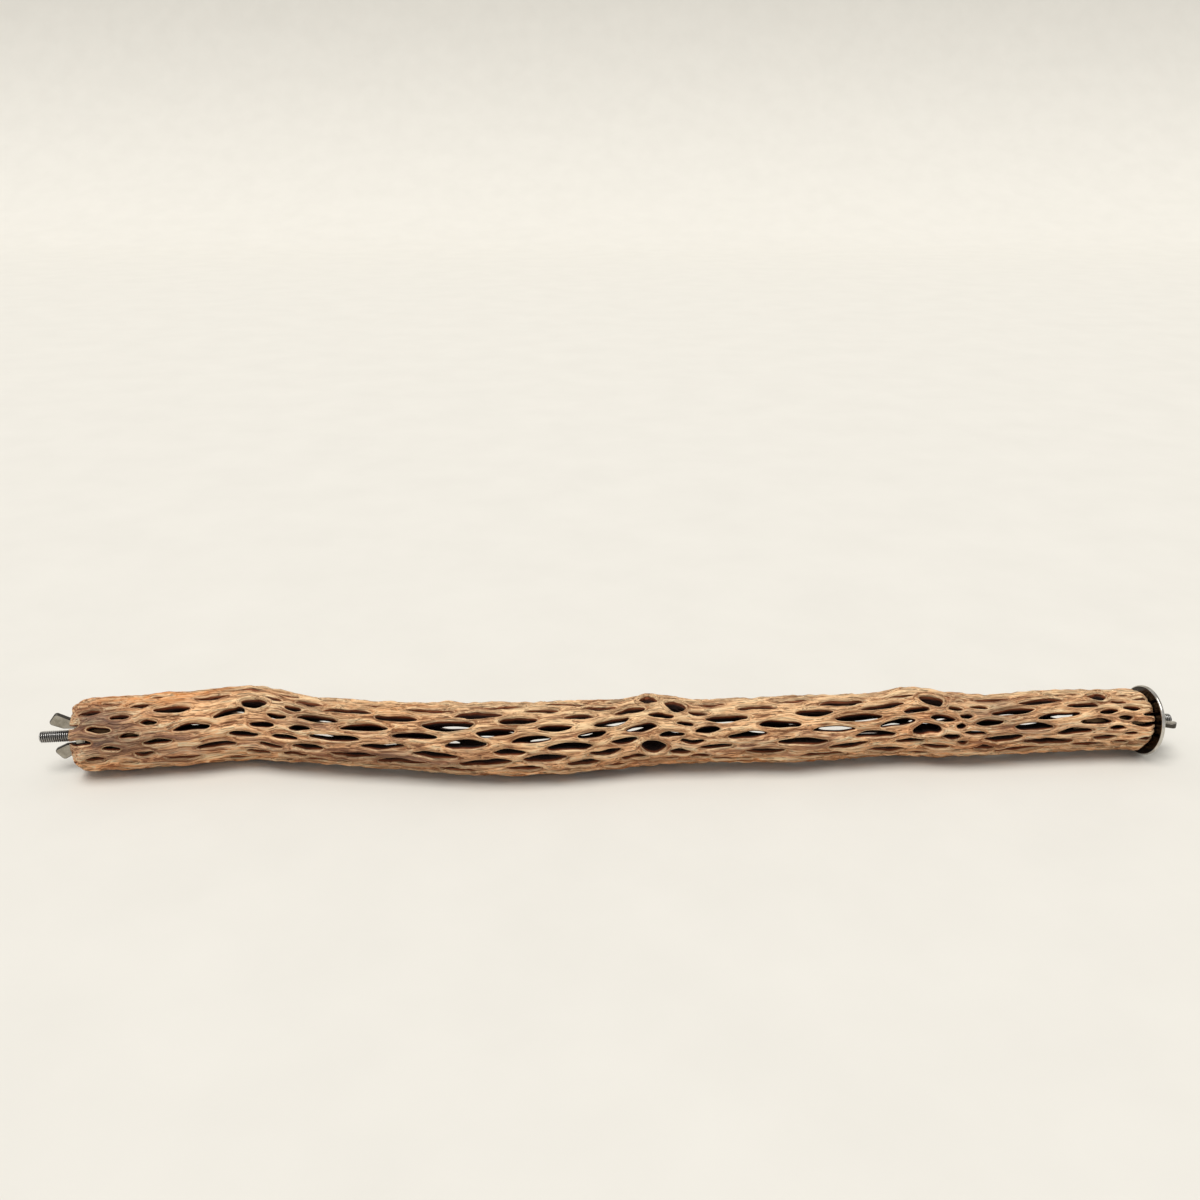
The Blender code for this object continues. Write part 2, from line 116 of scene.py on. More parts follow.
def grid_quads(rows: int, columns: int, looped: bool) -> np.ndarray:
    """Join a grid of points by quads, each row a closed ring.

    Args:
        rows: how many rows of points there are.
        columns: how many points a row has.
        looped: whether the last row joins on to the first.

    Returns:
        Four indices to a quad.
    """
    gaps = rows if looped else rows - 1
    row, column = np.meshgrid(np.arange(gaps), np.arange(columns), indexing="ij")
    above, after = (row + 1) % rows, (column + 1) % columns
    quads = np.stack((
        row * columns + column, row * columns + after, above * columns + after, above * columns + column,
    ), axis=-1)
    return quads.reshape(-1, 4)


@dataclass
class Shell:
    """Points and faces of one piece while it is being made."""

    points: list[np.ndarray] = field(default_factory=list)
    faces: list[tuple[int, ...]] = field(default_factory=list)
    count: int = 0

    def add_tube(self, rings: np.ndarray, looped: bool = False) -> None:
        """Add a tube of rings, each ring a closed row of points.

        Args:
            rings: rows by columns by three coordinates. Seen from outside, with the rings going
                up, each ring runs to the right.
            looped: whether the last ring joins on to the first, as on a washer. If it doesn't,
                a face fills each of them.
        """
        rows, columns, _ = rings.shape
        quads = grid_quads(rows, columns, looped) + self.count
        self.faces += [tuple(quad) for quad in quads.tolist()]
        if not looped:
            first = np.arange(columns) + self.count
            last = first + (rows - 1) * columns
            self.faces.append(tuple(first[::-1].tolist()))
            self.faces.append(tuple(last.tolist()))
        self.points.append(rings.reshape(-1, 3))
        self.count += rows * columns

    def mesh(self, name: str, sharp_degrees: float) -> bpy.types.Mesh:
        """Write the piece as a mesh in metres.

        Args:
            name: the piece's name.
            sharp_degrees: the angle between two faces past which their edge is sharp.

        Returns:
            The mesh, shaded smooth but for its sharp edges.
        """
        made = bpy.data.meshes.new(name)
        made.from_pydata(np.concatenate(self.points) * MM, [], self.faces)
        made.validate()
        made.shade_smooth()
        made.set_sharp_from_angle(angle=math.radians(sharp_degrees))
        return made


def closed_mesh(name: str, points: np.ndarray, corners: np.ndarray, triangles: int,
                quads: int) -> bpy.types.Mesh:
    """Write a mesh in metres from its faces' corners.

    Args:
        name: the piece's name.
        points: its points.
        corners: the corners of its triangles, and then of its quads, in one row.
        triangles: how many triangles there are.
        quads: how many quads there are.

    Returns:
        The mesh, shaded smooth.
    """
    sizes = np.repeat((3, 4), (triangles, quads))
    made = bpy.data.meshes.new(name)
    made.vertices.add(len(points))
    made.vertices.foreach_set("co", (points * MM).reshape(-1).astype(np.float32))
    made.loops.add(len(corners))
    made.loops.foreach_set("vertex_index", corners.astype(np.int32))
    made.polygons.add(len(sizes))
    made.polygons.foreach_set("loop_start", (np.cumsum(sizes) - sizes).astype(np.int32))
    made.update(calc_edges=True)
    made.shade_smooth()
    return made


def store(mesh: bpy.types.Mesh, name: str, values: np.ndarray) -> None:
    """Store values for a mesh's points, which its finish reads by name.

    Args:
        mesh: the mesh.
        name: the attribute's name.
        values: a number for each point, or a row of three numbers.
    """
    kind, key = ("FLOAT_VECTOR", "vector") if values.ndim == 2 else ("FLOAT", "value")
    made = mesh.attributes.new(name, kind, "POINT")
    made.data.foreach_set(key, values.reshape(-1).astype(np.float32))


def show(mesh: bpy.types.Mesh, finish: bpy.types.Material, body: str, node: str) -> None:
    """Put a finished mesh into the scene.

    Args:
        mesh: the piece's mesh, in the frame's coordinates.
        finish: the material that covers it.
        body: the CAD body that it rides on.
        node: the CAD node that it stands for.
    """
    piece = bpy.data.objects.new(mesh.name, mesh)
    bpy.context.scene.collection.objects.link(piece)
    mesh.materials.append(finish)
    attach(piece, body)
    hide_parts(node)


# The branch and its holes


@dataclass(frozen=True)
class Branch:
    """The branch's line, its girth, and how its ends are sawn and worn."""

    # Place along the branch, sideways bend and outer radius
    stations: tuple[Triple, ...] = (
        (-226, -7.2, 15.1), (-211, -5.4, 15.1), (-196, -3.7, 15.2), (-180, -0.8, 15.7),
        (-165, 1.7, 15.7), (-149, 4.9, 15.8), (-137, 2.4, 15.3), (-124, -0.7, 14.4),
        (-107, -3.4, 14.0), (-87, -5.5, 14.2), (-54, -8.0, 15.2), (-35, -7.8, 15.3),
        (-17, -6.5, 15.0), (1, -3.5, 14.6), (14, -0.2, 15.0), (31, -1.5, 13.8),
        (50, -0.4, 13.6), (68, -0.2, 14.1), (88, 2.7, 14.0), (107, 4.8, 13.8),
        (119, 7.3, 15.0), (136, 4.7, 13.9), (145, 4.3, 13.2), (175, 7.5, 13.4),
        (201, 9.2, 13.1), (226, 8.8, 13.4),
    )
    # The sawn ends: where they are, how high the branch's line is there, and how they are turned
    left: float = -215.1
    right: float = 216.6
    left_height: float = 15.5
    right_height: float = 14.38
    left_turn: float = 7.0
    right_turn: float = 8.0
    right_fall: float = 3.0
    saw_blend: float = 25.0
    wall: float = 4.8
    left_rounding: float = 2.0
    right_rounding: float = 2.6
    rounding_reach: float = 3.5
    rounding_power: float = 1.5
    # The radius at which the branch is unrolled into a flat sheet
    sheet_radius: float = 14.4

    def _read(self, place: np.ndarray, column: int) -> np.ndarray:
        """Read a column of the stations.

        Between two stations the value is a cubic that meets both, each with the slope that the
        stations round it have.

        Args:
            place: places along the branch.
            column: the column of the stations.

        Returns:
            The value at each place.
        """
        table = np.array(self.stations, dtype=float)
        places, values = table[:, 0], table[:, column]
        slopes = np.gradient(values, places)
        span = np.clip(np.searchsorted(places, place, side="right") - 1, 0, len(places) - 2)
        width = places[span + 1] - places[span]
        t = (place - places[span]) / width
        start = (1 + 2 * t) * (1 - t) ** 2 * values[span] + t * (1 - t) ** 2 * width * slopes[span]
        end = t**2 * (3 - 2 * t) * values[span + 1] - t**2 * (1 - t) * width * slopes[span + 1]
        return start + end

    def bend(self, place: np.ndarray) -> np.ndarray:
        """How far the branch's line stands to the back at a place."""
        return self._read(place, 1)

    def girth(self, place: np.ndarray) -> np.ndarray:
        """The branch's outer radius at a place."""
        return self._read(place, 2)

    def height(self, place: np.ndarray) -> np.ndarray:
        """The height of the branch's line, which falls evenly from left to right."""
        share = (place - self.left) / (self.right - self.left)
        return self.left_height + (self.right_height - self.left_height) * share

    def worn(self, place: np.ndarray) -> np.ndarray:
        """How much the worn ends take off the radius: a power of the nearness to the end.

        Args:
            place: places along the branch.

        Returns:
            A depth at each place.
        """
        from_left = np.clip(1 - (place - self.left) / self.rounding_reach, 0, 1)
        from_right = np.clip(1 - (self.right - place) / self.rounding_reach, 0, 1)
        return (self.left_rounding * from_left**self.rounding_power
                + self.right_rounding * from_right**self.rounding_power)

    def saw_shift(self, place: np.ndarray, angle: np.ndarray,
                  depth: np.ndarray | float = 0.0) -> np.ndarray:
        """How far along X a point moves because the saw cuts aslant.

        The sheet has square ends. Near each end its points slide along the branch, by the cut's
        slope in plan times their distance to the front, and at the right end also by its lean
        times their height above the branch's line. Both fade out over the saw blend.

        Args:
            place: places along the branch.
            angle: angles round it, in degrees.
            depth: depths below its outside.

        Returns:
            The shift along X at each point.
        """
        radius = self.girth(place) - depth
        to_front = radius * np.sin(np.radians(angle))
        above = radius * np.cos(np.radians(angle))
        near_left = 1 - smooth_step(0, self.saw_blend, place - self.left)
        near_right = 1 - smooth_step(0, self.saw_blend, self.right - place)
        slope = (near_left * math.tan(math.radians(self.left_turn))
                 + near_right * math.tan(math.radians(self.right_turn)))
        lean = math.tan(math.radians(self.right_fall)) / math.cos(math.radians(self.right_turn))
        return slope * to_front + near_right * lean * above

    def lay(self, place: np.ndarray, angle: np.ndarray, depth: np.ndarray) -> np.ndarray:
        """Points on the branch.

        The radius is the girth, less the depth. The point stands at that radius from the
        branch's line, turned by the angle from straight up towards the front.

        Args:
            place: places along the branch.
            angle: angles round it, in degrees.
            depth: depths below its outside.

        Returns:
            Points in space, one to a row.
        """
        radius = self.girth(place) - depth
        turn = np.radians(angle)
        return np.stack((
            place + self.saw_shift(place, angle, depth),
            self.bend(place) - radius * np.sin(turn),
            np.maximum(self.height(place) + radius * np.cos(turn), 0.0),
        ), axis=-1)

    def end_frame(self, end: End) -> tuple[np.ndarray, np.ndarray, np.ndarray]:
        """Find the axis of a sawn end.

        Args:
            end: which end it is.

        Returns:
            The end's middle, the way out of it, and the level way across it.
        """
        if end is End.LEFT:
            place, turn, fall = self.left, self.left_turn, 0.0
        else:
            place, turn, fall = self.right, self.right_turn, self.right_fall
        turn, fall = math.radians(turn), math.radians(fall)
        middle = np.array((place, self.bend(np.array([place]))[0], self.height(place)))
        level = np.array((math.cos(turn), math.sin(turn), 0.0)) * end.value
        outward = level * math.cos(fall) - np.array((0.0, 0.0, math.sin(fall)))
        across = np.cross(outward, (0.0, 0.0, 1.0))
        return middle, outward, across / np.linalg.norm(across)


@dataclass(frozen=True)
class SpiralHoles:
    """The holes of the net, which follow each other on one spiral, a golden angle apart."""

    branch: Branch
    golden_angle: float = 180.0 * (3.0 - math.sqrt(5.0))
    first_angle: float = 159.0
    # A hole's number, its place along the branch, and the spiral's drift there in degrees
    growth: tuple[Triple, ...] = (
        (-8, -222, -6), (0, -217.5, -7), (8, -212, -9), (19, -202, -10), (29, -193, -10),
        (37, -186, -9), (45, -180.5, -9), (53, -167, -8), (61, -153.5, -6), (69, -144.5, -3),
        (80, -136, 0), (92, -127, 4), (100, -121.5, 5), (108, -111, 4), (121, -91.5, 2),
        (137, -65.5, 0), (150, -47, -1), (163, -33, -1), (179, -14.5, 1), (192, -1.5, 4),
        (205, 10.5, 7), (218, 22, 7), (231, 30, 6), (244, 39.5, 4), (257, 59, 4), (270, 83, 6),
        (283, 99.5, 8), (296, 115, 11), (310, 127, 10), (323, 136, 8), (336, 140, 9),
        (352, 152, 9), (362, 167.5, 9), (370, 178.5, 10), (380, 191, 11), (388, 197.5, 12),
        (400, 204.5, 12), (412, 209.5, 12), (425, 219, 11), (433, 226, 11),
    )
    step_smoothing: int = 9
    # A hole's length is a power of the climb from one hole to the next, times this
    length: float = 13.2
    length_power: float = 1.1
    longest: float = 18.0
    shortest: float = 3.2
    # Its width is the narrowest, and a share of its length more
    narrowest: float = 1.75
    width_per_length: float = 0.095
    slant: float = -1.0
    slant_spread: float = 4.0
    size_spread: float = 0.17
    place_spread: float = 0.35
    # Holes closer than the least strand shrink in rounds, by these factors
    strand_least: float = 1.5
    compared_points: int = 24
    shrink_rounds: int = 40
    length_shrink: float = 0.95
    width_shrink: float = 0.97
    # The holes are smaller towards the thick end, by up to this share, between these places
    closing: float = 0.30
    closing_ends: tuple[float, float] = (-175.0, -140.0)
    # Holes that stand out: number, length and width
    large: tuple[tuple[int, float, float], ...] = (
        (69, 12.5, 4.8), (208, 8.5, 6.2), (210, 10.5, 5.4), (221, 10.0, 6.0),
        (307, 12.0, 5.2), (310, 10.5, 6.0), (386, 10.0, 6.0),
    )
    # An edge has a point for each spacing of its girth, which is about these shares of its
    # length and width
    point_spacing: float = 1.15
    fewest_points: int = 14
    girth_shares: tuple[float, float] = (2.1, 1.26)
    # How far a leaf's end is drawn out to a point, at most
    leaf_power: float = 0.07
    # How far a leaf's width waves, in two, three and five waves, and how far its length does
    wobble: Triple = (0.13, 0.10, 0.06)
    length_wobble: float = 0.03
    lopsided: float = 0.12
    plan_seed: int = 7
    outline_seed: int = 11

    def plan(self) -> np.ndarray:
        """Place the holes by the spiral.

        A hole's angle is its number times the golden angle. Its place comes from the growth
        stations, and its length is a power of how fast the spiral climbs there.

        Returns:
            For each hole its place, angle in degrees, length, width and slant in degrees.
        """
        table = np.array(self.growth, dtype=float)
        number = np.arange(int(table[0, 0]), int(table[-1, 0]) + 1)
        place = np.interp(number, table[:, 0], table[:, 1])
        drift = np.interp(number, table[:, 0], table[:, 2])
        angle = np.mod(self.first_angle - number * self.golden_angle + drift, 360.0)
        average = np.ones(self.step_smoothing) / self.step_smoothing
        climb = np.convolve(np.gradient(place), average, mode="same")
        draw = np.random.default_rng(self.plan_seed)
        length = np.clip(self.length * climb**self.length_power, self.shortest, self.longest)
        length *= 1 + draw.uniform(-self.size_spread, self.size_spread, len(number))
        width = self.narrowest + self.width_per_length * length
        width *= 1 + draw.uniform(-self.size_spread, self.size_spread, len(number))
        slant = self.slant + draw.uniform(-self.slant_spread, self.slant_spread, len(number))
        place = place + draw.uniform(-self.place_spread, self.place_spread, len(number))
        tight = 1 - self.closing * (1 - smooth_step(*self.closing_ends, place))
        length *= tight
        width *= np.sqrt(tight)
        for large, long, wide in self.large:
            length[number == large] = long
            width[number == large] = wide
        return self._clear(np.stack((place, angle, length, width, slant), axis=-1))

    def _clear(self, plan: np.ndarray) -> np.ndarray:
        """Shrink holes that stand too close together, until every strand is wide enough.

        Args:
            plan: the holes, as plan() gives them.

        Returns:
            The same holes, some of them smaller.
        """
        circumference = 2 * math.pi * self.branch.sheet_radius
        turn = np.arange(self.compared_points) * 2 * math.pi / self.compared_points
        for _ in range(self.shrink_rounds):
            lean = np.radians(plan[:, 4])[:, None]
            x = plan[:, 2][:, None] / 2 * np.cos(turn)
            y = plan[:, 3][:, None] / 2 * np.sin(turn)
            along = plan[:, 0][:, None] + x * np.cos(lean) - y * np.sin(lean)
            around = (np.radians(plan[:, 1])[:, None] * self.branch.sheet_radius
                      + x * np.sin(lean) + y * np.cos(lean))
            tight = np.zeros(len(plan), dtype=bool)
            for hole in range(len(plan)):
                beside = self.longest + self.strand_least
                near = np.flatnonzero(np.abs(plan[:, 0] - plan[hole, 0]) < beside)
                near = near[near > hole]
                gap_x = along[near][:, None, :] - along[hole][None, :, None]
                gap_y = around[near][:, None, :] - around[hole][None, :, None]
                gap_y = (gap_y + circumference / 2) % circumference - circumference / 2
                close = np.hypot(gap_x, gap_y).min(axis=(1, 2)) < self.strand_least
                tight[near[close]] = True
                tight[hole] |= close.any()
            if not tight.any():
                break
            plan[tight, 2] *= self.length_shrink
            plan[tight, 3] *= self.width_shrink
        return plan

    def outlines(self, plan: np.ndarray) -> list[np.ndarray]:
        """The holes' edges on the unrolled sheet.

        A hole is a leaf: its half length times the cosine of a turn along, and its half width
        times a power of the sine across, so that both ends are drawn out to a point. Slow waves
        make each leaf its own.

        Args:
            plan: the holes, as plan() gives them.

        Returns:
            For each hole its edge points: distance along the sheet, and distance round it.
        """
        draw = np.random.default_rng(self.outline_seed)
        twofold, threefold, fivefold = self.wobble
        found = []
        for place, angle, length, width, slant in plan:
            start = draw.uniform(0.0, 2.0 * math.pi, 4)
            bias = draw.uniform(-self.lopsided, self.lopsided, 2)
            point = draw.uniform(0.0, self.leaf_power, 2)
            girth = self.girth_shares[0] * length + self.girth_shares[1] * width
            count = max(self.fewest_points, round(girth / self.point_spacing))
            turn = np.arange(count) * 2 * math.pi / count
            sine = np.sin(turn)
            wobble = (1 + twofold * np.sin(2 * turn + start[0]) + threefold * np.sin(3 * turn + start[1])
                      + fivefold * np.sin(5 * turn + start[3]))
            drawn_out = point[0] * (1 + np.cos(turn)) / 2 + point[1] * (1 - np.cos(turn)) / 2
            x = length / 2 * np.cos(turn) * (1 + self.length_wobble * np.sin(turn + start[2]))
            y = width / 2 * np.sign(sine) * np.abs(sine) ** (1 + drawn_out) * wobble
            y += width * (bias[0] * np.cos(turn) + bias[1] * np.cos(2 * turn))
            lean = math.radians(slant)
            along = place + x * math.cos(lean) - y * math.sin(lean)
            around = math.radians(angle) * self.branch.sheet_radius
            around = around + x * math.sin(lean) + y * math.cos(lean)
            along = along - self.branch.saw_shift(along, np.degrees(around / self.branch.sheet_radius))
            found.append(np.stack((along, around), axis=-1))
        return found


@dataclass(frozen=True)
class TintPatch:
    """A soft-edged oval of the branch where the wood has another tone; some ovals are painted light."""

    place: float
    angle: float
    reach: float
    spread: float
    strength: float = 1.0

    def at(self, place: np.ndarray, angle: np.ndarray) -> np.ndarray:
        """How strongly the patch shows: a bell curve of the distance along and the turn round.

        Args:
            place: places along the branch.
            angle: angles round it, in degrees.

        Returns:
            A share at each point.
        """
        along = (place - self.place) / self.reach
        aside = ((angle - self.angle + 180.0) % 360.0 - 180.0) / self.spread
        return self.strength * np.exp(-along**2 - aside**2)


def patches_at(patches: tuple[TintPatch, ...], place: np.ndarray, angle: np.ndarray) -> np.ndarray:
    """All of one tone's patches together, at most 1."""
    return np.minimum(sum(patch.at(place, angle) for patch in patches), 1.0)


@dataclass
class Border:
    """The open sides of the sheet, round the holes and along both ends."""

    # Each side's first and last point, and all the points on sides
    starts: np.ndarray
    ends: np.ndarray
    points: np.ndarray


@dataclass
class Relief:
    """What is carved into the sheet, with a value for each of its points."""

    # The depth below the branch's outside, and the part of it that rounds a strand's edge
    depth: np.ndarray
    sunk: np.ndarray
    # How much a hole's groove shows there, and how near a knot is, from 0 to 1
    dip: np.ndarray
    knot: np.ndarray
    # Where the fibre there would lie round the sheet if no hole pushed it aside
    grain: np.ndarray


@dataclass
class ChollaWood:
    """The carved net of the branch, as one closed mesh.

    The net is laid out on the branch's surface, unrolled into a flat sheet. A place on the sheet
    is a distance along the branch, and a distance round it.
    """

    branch: Branch = field(default_factory=Branch)
    # A strand's edge is rounded by this, but by no more than a share of the strand's width
    strand_rounding: float = 0.62
    rounding_share: float = 0.425
    least_rounding: float = 0.05
    # The shares of that rounding at which loops of points follow a hole
    loop_shares: tuple[float, ...] = (0.14, 0.45, 0.95)
    # The staggered grid between the holes
    fill_spacing: float = 1.35
    fill_rows: float = 0.87
    fill_clearance: float = 1.15
    fill_margin: float = 0.8
    fill_jitter: float = 0.12
    # The rows of points along the sawn ends
    end_rows: tuple[float, ...] = (0.45, 1.1, 1.9, 2.8)
    end_spacing: float = 1.15
    end_clearance: float = 0.45
    end_jitter: float = 0.05
    # A hole that comes this near to a sawn end is cut open by it. It is grown past the end by a
    # little first, until it runs over by the third length here
    end_strand: float = 1.3
    grown_past: float = 1.2
    grown_until: float = 0.6
    # A cut hole's own points keep this clear of the end
    cut_clearance: float = 0.12
    # The rings down a hole's wall: shares of the way to the core, and how far each one narrows
    wall_shares: tuple[float, ...] = (0.22, 0.52, 0.82, 1.0)
    wall_narrowing: tuple[float, ...] = (0.08, 0.20, 0.34, 0.45)
    wall_unevenness: float = 0.12
    wall_ripples: Ripples = Ripples(9, (5.0, 3.0, 3.0))
    least_wall: float = 1.0
    # The surface's slow swelling, and the ridges that follow the grain
    relief: float = 0.6
    relief_ripples: Ripples = Ripples(3, (9.0, 5.0, 5.0))
    ridges: float = 0.5
    ridge_ripples: Ripples = Ripples(21, (26.0, 3.4, 3.4))
    # The groove past a hole's point: where it is deepest and how far it runs, as shares of the
    # hole's length, how far more it runs at least, how much of that run lies before the deepest
    # place, and its width as a share of the hole's
    groove: float = 0.8
    groove_start: float = 0.46
    groove_run: float = 0.28
    groove_more: float = 1.0
    groove_lead: float = 0.2
    groove_width: float = 0.26
    # How far a strand falls away towards its holes, and over what width
    crown: float = 0.5
    crown_reach: float = 2.6
    # How deeply the left end is worn away in lobes, and how far along
    frayed: float = 1.5
    frayed_reach: float = 9.0
    frayed_ripples: Ripples = Ripples(31, (5.0, 4.5, 4.5))
    # The collar round a knot's hole: its height, how far out its crest and its end lie, its
    # width, and how much of the other carving it smooths away
    knot_swell: float = 0.5
    knot_crest: float = 1.0
    knot_end: float = 3.5
    knot_width: float = 0.9
    knot_calm: float = 0.8
    # How far out the dark rings round a knot reach
    knot_reach: float = 4.0
    # A hole pushes the fibres aside: how far from its edge, how far past its points, how full the
    # push is along it, and over what width the fibres part at its middle line
    grain_reach: float = 2.3
    grain_past: float = 1.5
    grain_power: float = 0.8
    grain_parting: float = 0.25
    # Distances on the sheet are measured up to this one, in blocks of this many points
    search: float = 6.0
    block: int = 200
    # How far the sheet is repeated past its two long sides while it is triangulated
    margin: float = 16.0
    seed: int = 5
    grey: tuple[TintPatch, ...] = (
        TintPatch(-204, 38, 13, 42, 1.0),
        TintPatch(-188, 80, 22, 30, 0.75),
        TintPatch(-120, 40, 16, 26, 0.5),
        TintPatch(-90, 105, 34, 24, 0.75),
        TintPatch(152, 45, 13, 34, 0.7),
        TintPatch(60, 88, 30, 14, 0.55),
        TintPatch(60, 250, 60, 60, 0.6),
        TintPatch(-120, 220, 50, 50, 0.5),
    )
    orange: tuple[TintPatch, ...] = (
        TintPatch(-182, -8, 25, 27, 1.0),
        TintPatch(-90, 5, 18, 30, 0.5),
        # Painted light: this long band along the underside stands for warm light bounced from the floor
        TintPatch(-30, 150, 200, 30, 0.35),
        TintPatch(150, 200, 40, 40, 0.4),
    )
    # Partly paler wood and partly painted light from above: these ovals lie along the top and upper front
    pale: tuple[TintPatch, ...] = (
        TintPatch(-100, -20, 130, 62, 0.8),
        TintPatch(120, -20, 130, 62, 0.8),
        TintPatch(-10, 50, 75, 45, 0.7),
        TintPatch(195, 60, 22, 60, 0.4),
        TintPatch(-150, 40, 22, 34, 0.4),
    )

    def __post_init__(self) -> None:
        """Set out the spiral of holes, and then every point of the sheet."""
        self.spiral = SpiralHoles(self.branch)
        self.plan = self.spiral.plan()
        self.circumference = 2 * math.pi * self.branch.sheet_radius
        self._cut_holes()
        self._set_out()

    def make(self, finish: bpy.types.Material) -> None:
        """Carve the net and put it into the scene."""
        show(self.mesh(), finish, "stick", "cholla_wood")

    def _wrap(self, aside: np.ndarray) -> np.ndarray:
        """The shorter way round the sheet."""
        half = self.circumference / 2
        return (aside + half) % self.circumference - half

    def _clip(self, outline: np.ndarray) -> tuple[np.ndarray, np.ndarray]:
        """Cut a hole's edge off square where it runs past an end of the sheet.

        Args:
            outline: the edge's points.

        Returns:
            The edge's points inside the sheet, and for each whether it lies on the cut.
        """
        left, right = self.branch.left, self.branch.right
        strands = outline[:, 0].min() - left, right - outline[:, 0].max()
        on_cut = np.zeros(len(outline), dtype=bool)
        for limit, strand, sign in ((left, strands[0], 1), (right, strands[1], -1)):
            if strand > self.end_strand:
                continue
            if strand > -self.grown_until:
                middle = outline[:, 0].mean()
                outer = (outline[:, 0] - middle) * sign < 0
                wanted = abs(middle - limit) + self.grown_past
                outline = outline.copy()
                outline[outer, 0] = middle + (outline[outer, 0] - middle) * (
                    wanted / np.abs(outline[outer, 0] - middle).max())
            inside = (outline[:, 0] - limit) * sign > self.cut_clearance
            if not inside.any():
                return outline[:0], on_cut[:0]
            first = np.flatnonzero(inside & ~np.roll(inside, 1))[0]
            outline, inside = np.roll(outline, -first, axis=0), np.roll(inside, -first)
            last = np.flatnonzero(inside)[-1]
            comes_in = self._crossing(outline[-1], outline[0], limit)
            goes_out = self._crossing(outline[last], outline[(last + 1) % len(outline)], limit)
            outline = np.concatenate((comes_in[None], outline[:last + 1], goes_out[None]))
            on_cut = np.zeros(len(outline), dtype=bool)
            on_cut[[0, -1]] = True
            break
        return outline, on_cut

    @staticmethod
    def _crossing(one: np.ndarray, other: np.ndarray, limit: float) -> np.ndarray:
        """Where the line through two points meets the sheet's end."""
        share = (limit - one[0]) / (other[0] - one[0])
        return np.array((limit, one[1] + np.clip(share, 0.0, 1.0) * (other[1] - one[1])))

    def _cut_holes(self) -> None:
        """Keep every hole's edge points, the way out of the hole at each, and whose they are."""
        numbers = np.arange(len(self.plan)) + self.spiral.growth[0][0]
        knots = np.isin(numbers, [number for number, _, _ in self.spiral.large])
        edges = [self._clip(outline) for outline in self.spiral.outlines(self.plan)]
        kept = [hole for hole, (edge, _) in enumerate(edges) if len(edge) > 4]
        counts = [len(edges[hole][0]) for hole in kept]
        self.edge = np.concatenate([edges[hole][0] for hole in kept])
        self.on_cut = np.concatenate([edges[hole][1] for hole in kept])
        self.edge_hole = np.repeat(np.arange(len(kept)), counts)
        self.knot_edge = np.repeat(knots[kept], counts)
        starts = np.cumsum([0] + counts)
        self.holes = [np.arange(start, end) for start, end in zip(starts, starts[1:])]
        sides = [np.roll(self.edge[hole], -1, axis=0) - np.roll(self.edge[hole], 1, axis=0)
                 for hole in self.holes]
        normal = np.concatenate(sides)[:, ::-1] * (1, -1)
        self.edge_normal = normal / np.linalg.norm(normal, axis=1, keepdims=True)

    def _nearest(self, points: np.ndarray, own: np.ndarray | None = None,
                 among: np.ndarray | None = None) -> np.ndarray:
        """Distance from points on the sheet to the nearest hole's edge.

        Args:
            points: places on the sheet.
            own: each point's own hole, which doesn't count.
            among: which edge points count, or None for all.

        Returns:
            The distances, at most the search distance.
        """
        order = np.argsort(points[:, 0])
        edge_order = np.argsort(self.edge[:, 0])
        if among is not None:
            edge_order = edge_order[among[edge_order]]
        edge = self.edge[edge_order]
        edge_hole = self.edge_hole[edge_order]
        found = np.full(len(points), self.search)
        for block in np.array_split(order, max(1, len(points) // self.block)):
            low = np.searchsorted(edge[:, 0], points[block, 0].min() - self.search)
            high = np.searchsorted(edge[:, 0], points[block, 0].max() + self.search)
            along = points[block, 0][:, None] - edge[None, low:high, 0]
            aside = self._wrap(points[block, 1][:, None] - edge[None, low:high, 1])
            distance = np.hypot(along, aside)
            if own is not None:
                distance[own[block][:, None] == edge_hole[None, low:high]] = self.search
            found[block] = distance.min(axis=1, initial=self.search)
        return found

    def _set_out(self) -> None:
        """Place every point of the sheet, with its distance to the nearest hole's edge.

        Loops of points follow each hole's edge at shares of the strand's rounding, so that the
        rounding is smooth. Rows of points follow the ends, and a staggered grid fills the rest.
        """
        strand = self._nearest(self.edge, self.edge_hole)
        rounding = np.minimum(self.strand_rounding, self.rounding_share * strand)
        points, distance, radius = [self.edge], [np.zeros(len(self.edge))], [rounding]
        for share in self.loop_shares:
            loop = self.edge + self.edge_normal * (share * rounding)[:, None]
            room = np.minimum(loop[:, 0] - self.branch.left, self.branch.right - loop[:, 0])
            kept = ~self.on_cut & (room > self.end_clearance / 2)
            points.append(loop[kept])
            distance.append(share * rounding[kept])
            radius.append(rounding[kept])
        for loose, clearance in self._loose_points():
            near = self._nearest(loose)
            kept = near > clearance
            points.append(loose[kept])
            distance.append(near[kept])
            radius.append(np.full(kept.sum(), self.strand_rounding))
        self.sheet = np.concatenate(points)
        self.distance = np.concatenate(distance)
        self.rounding = np.concatenate(radius)

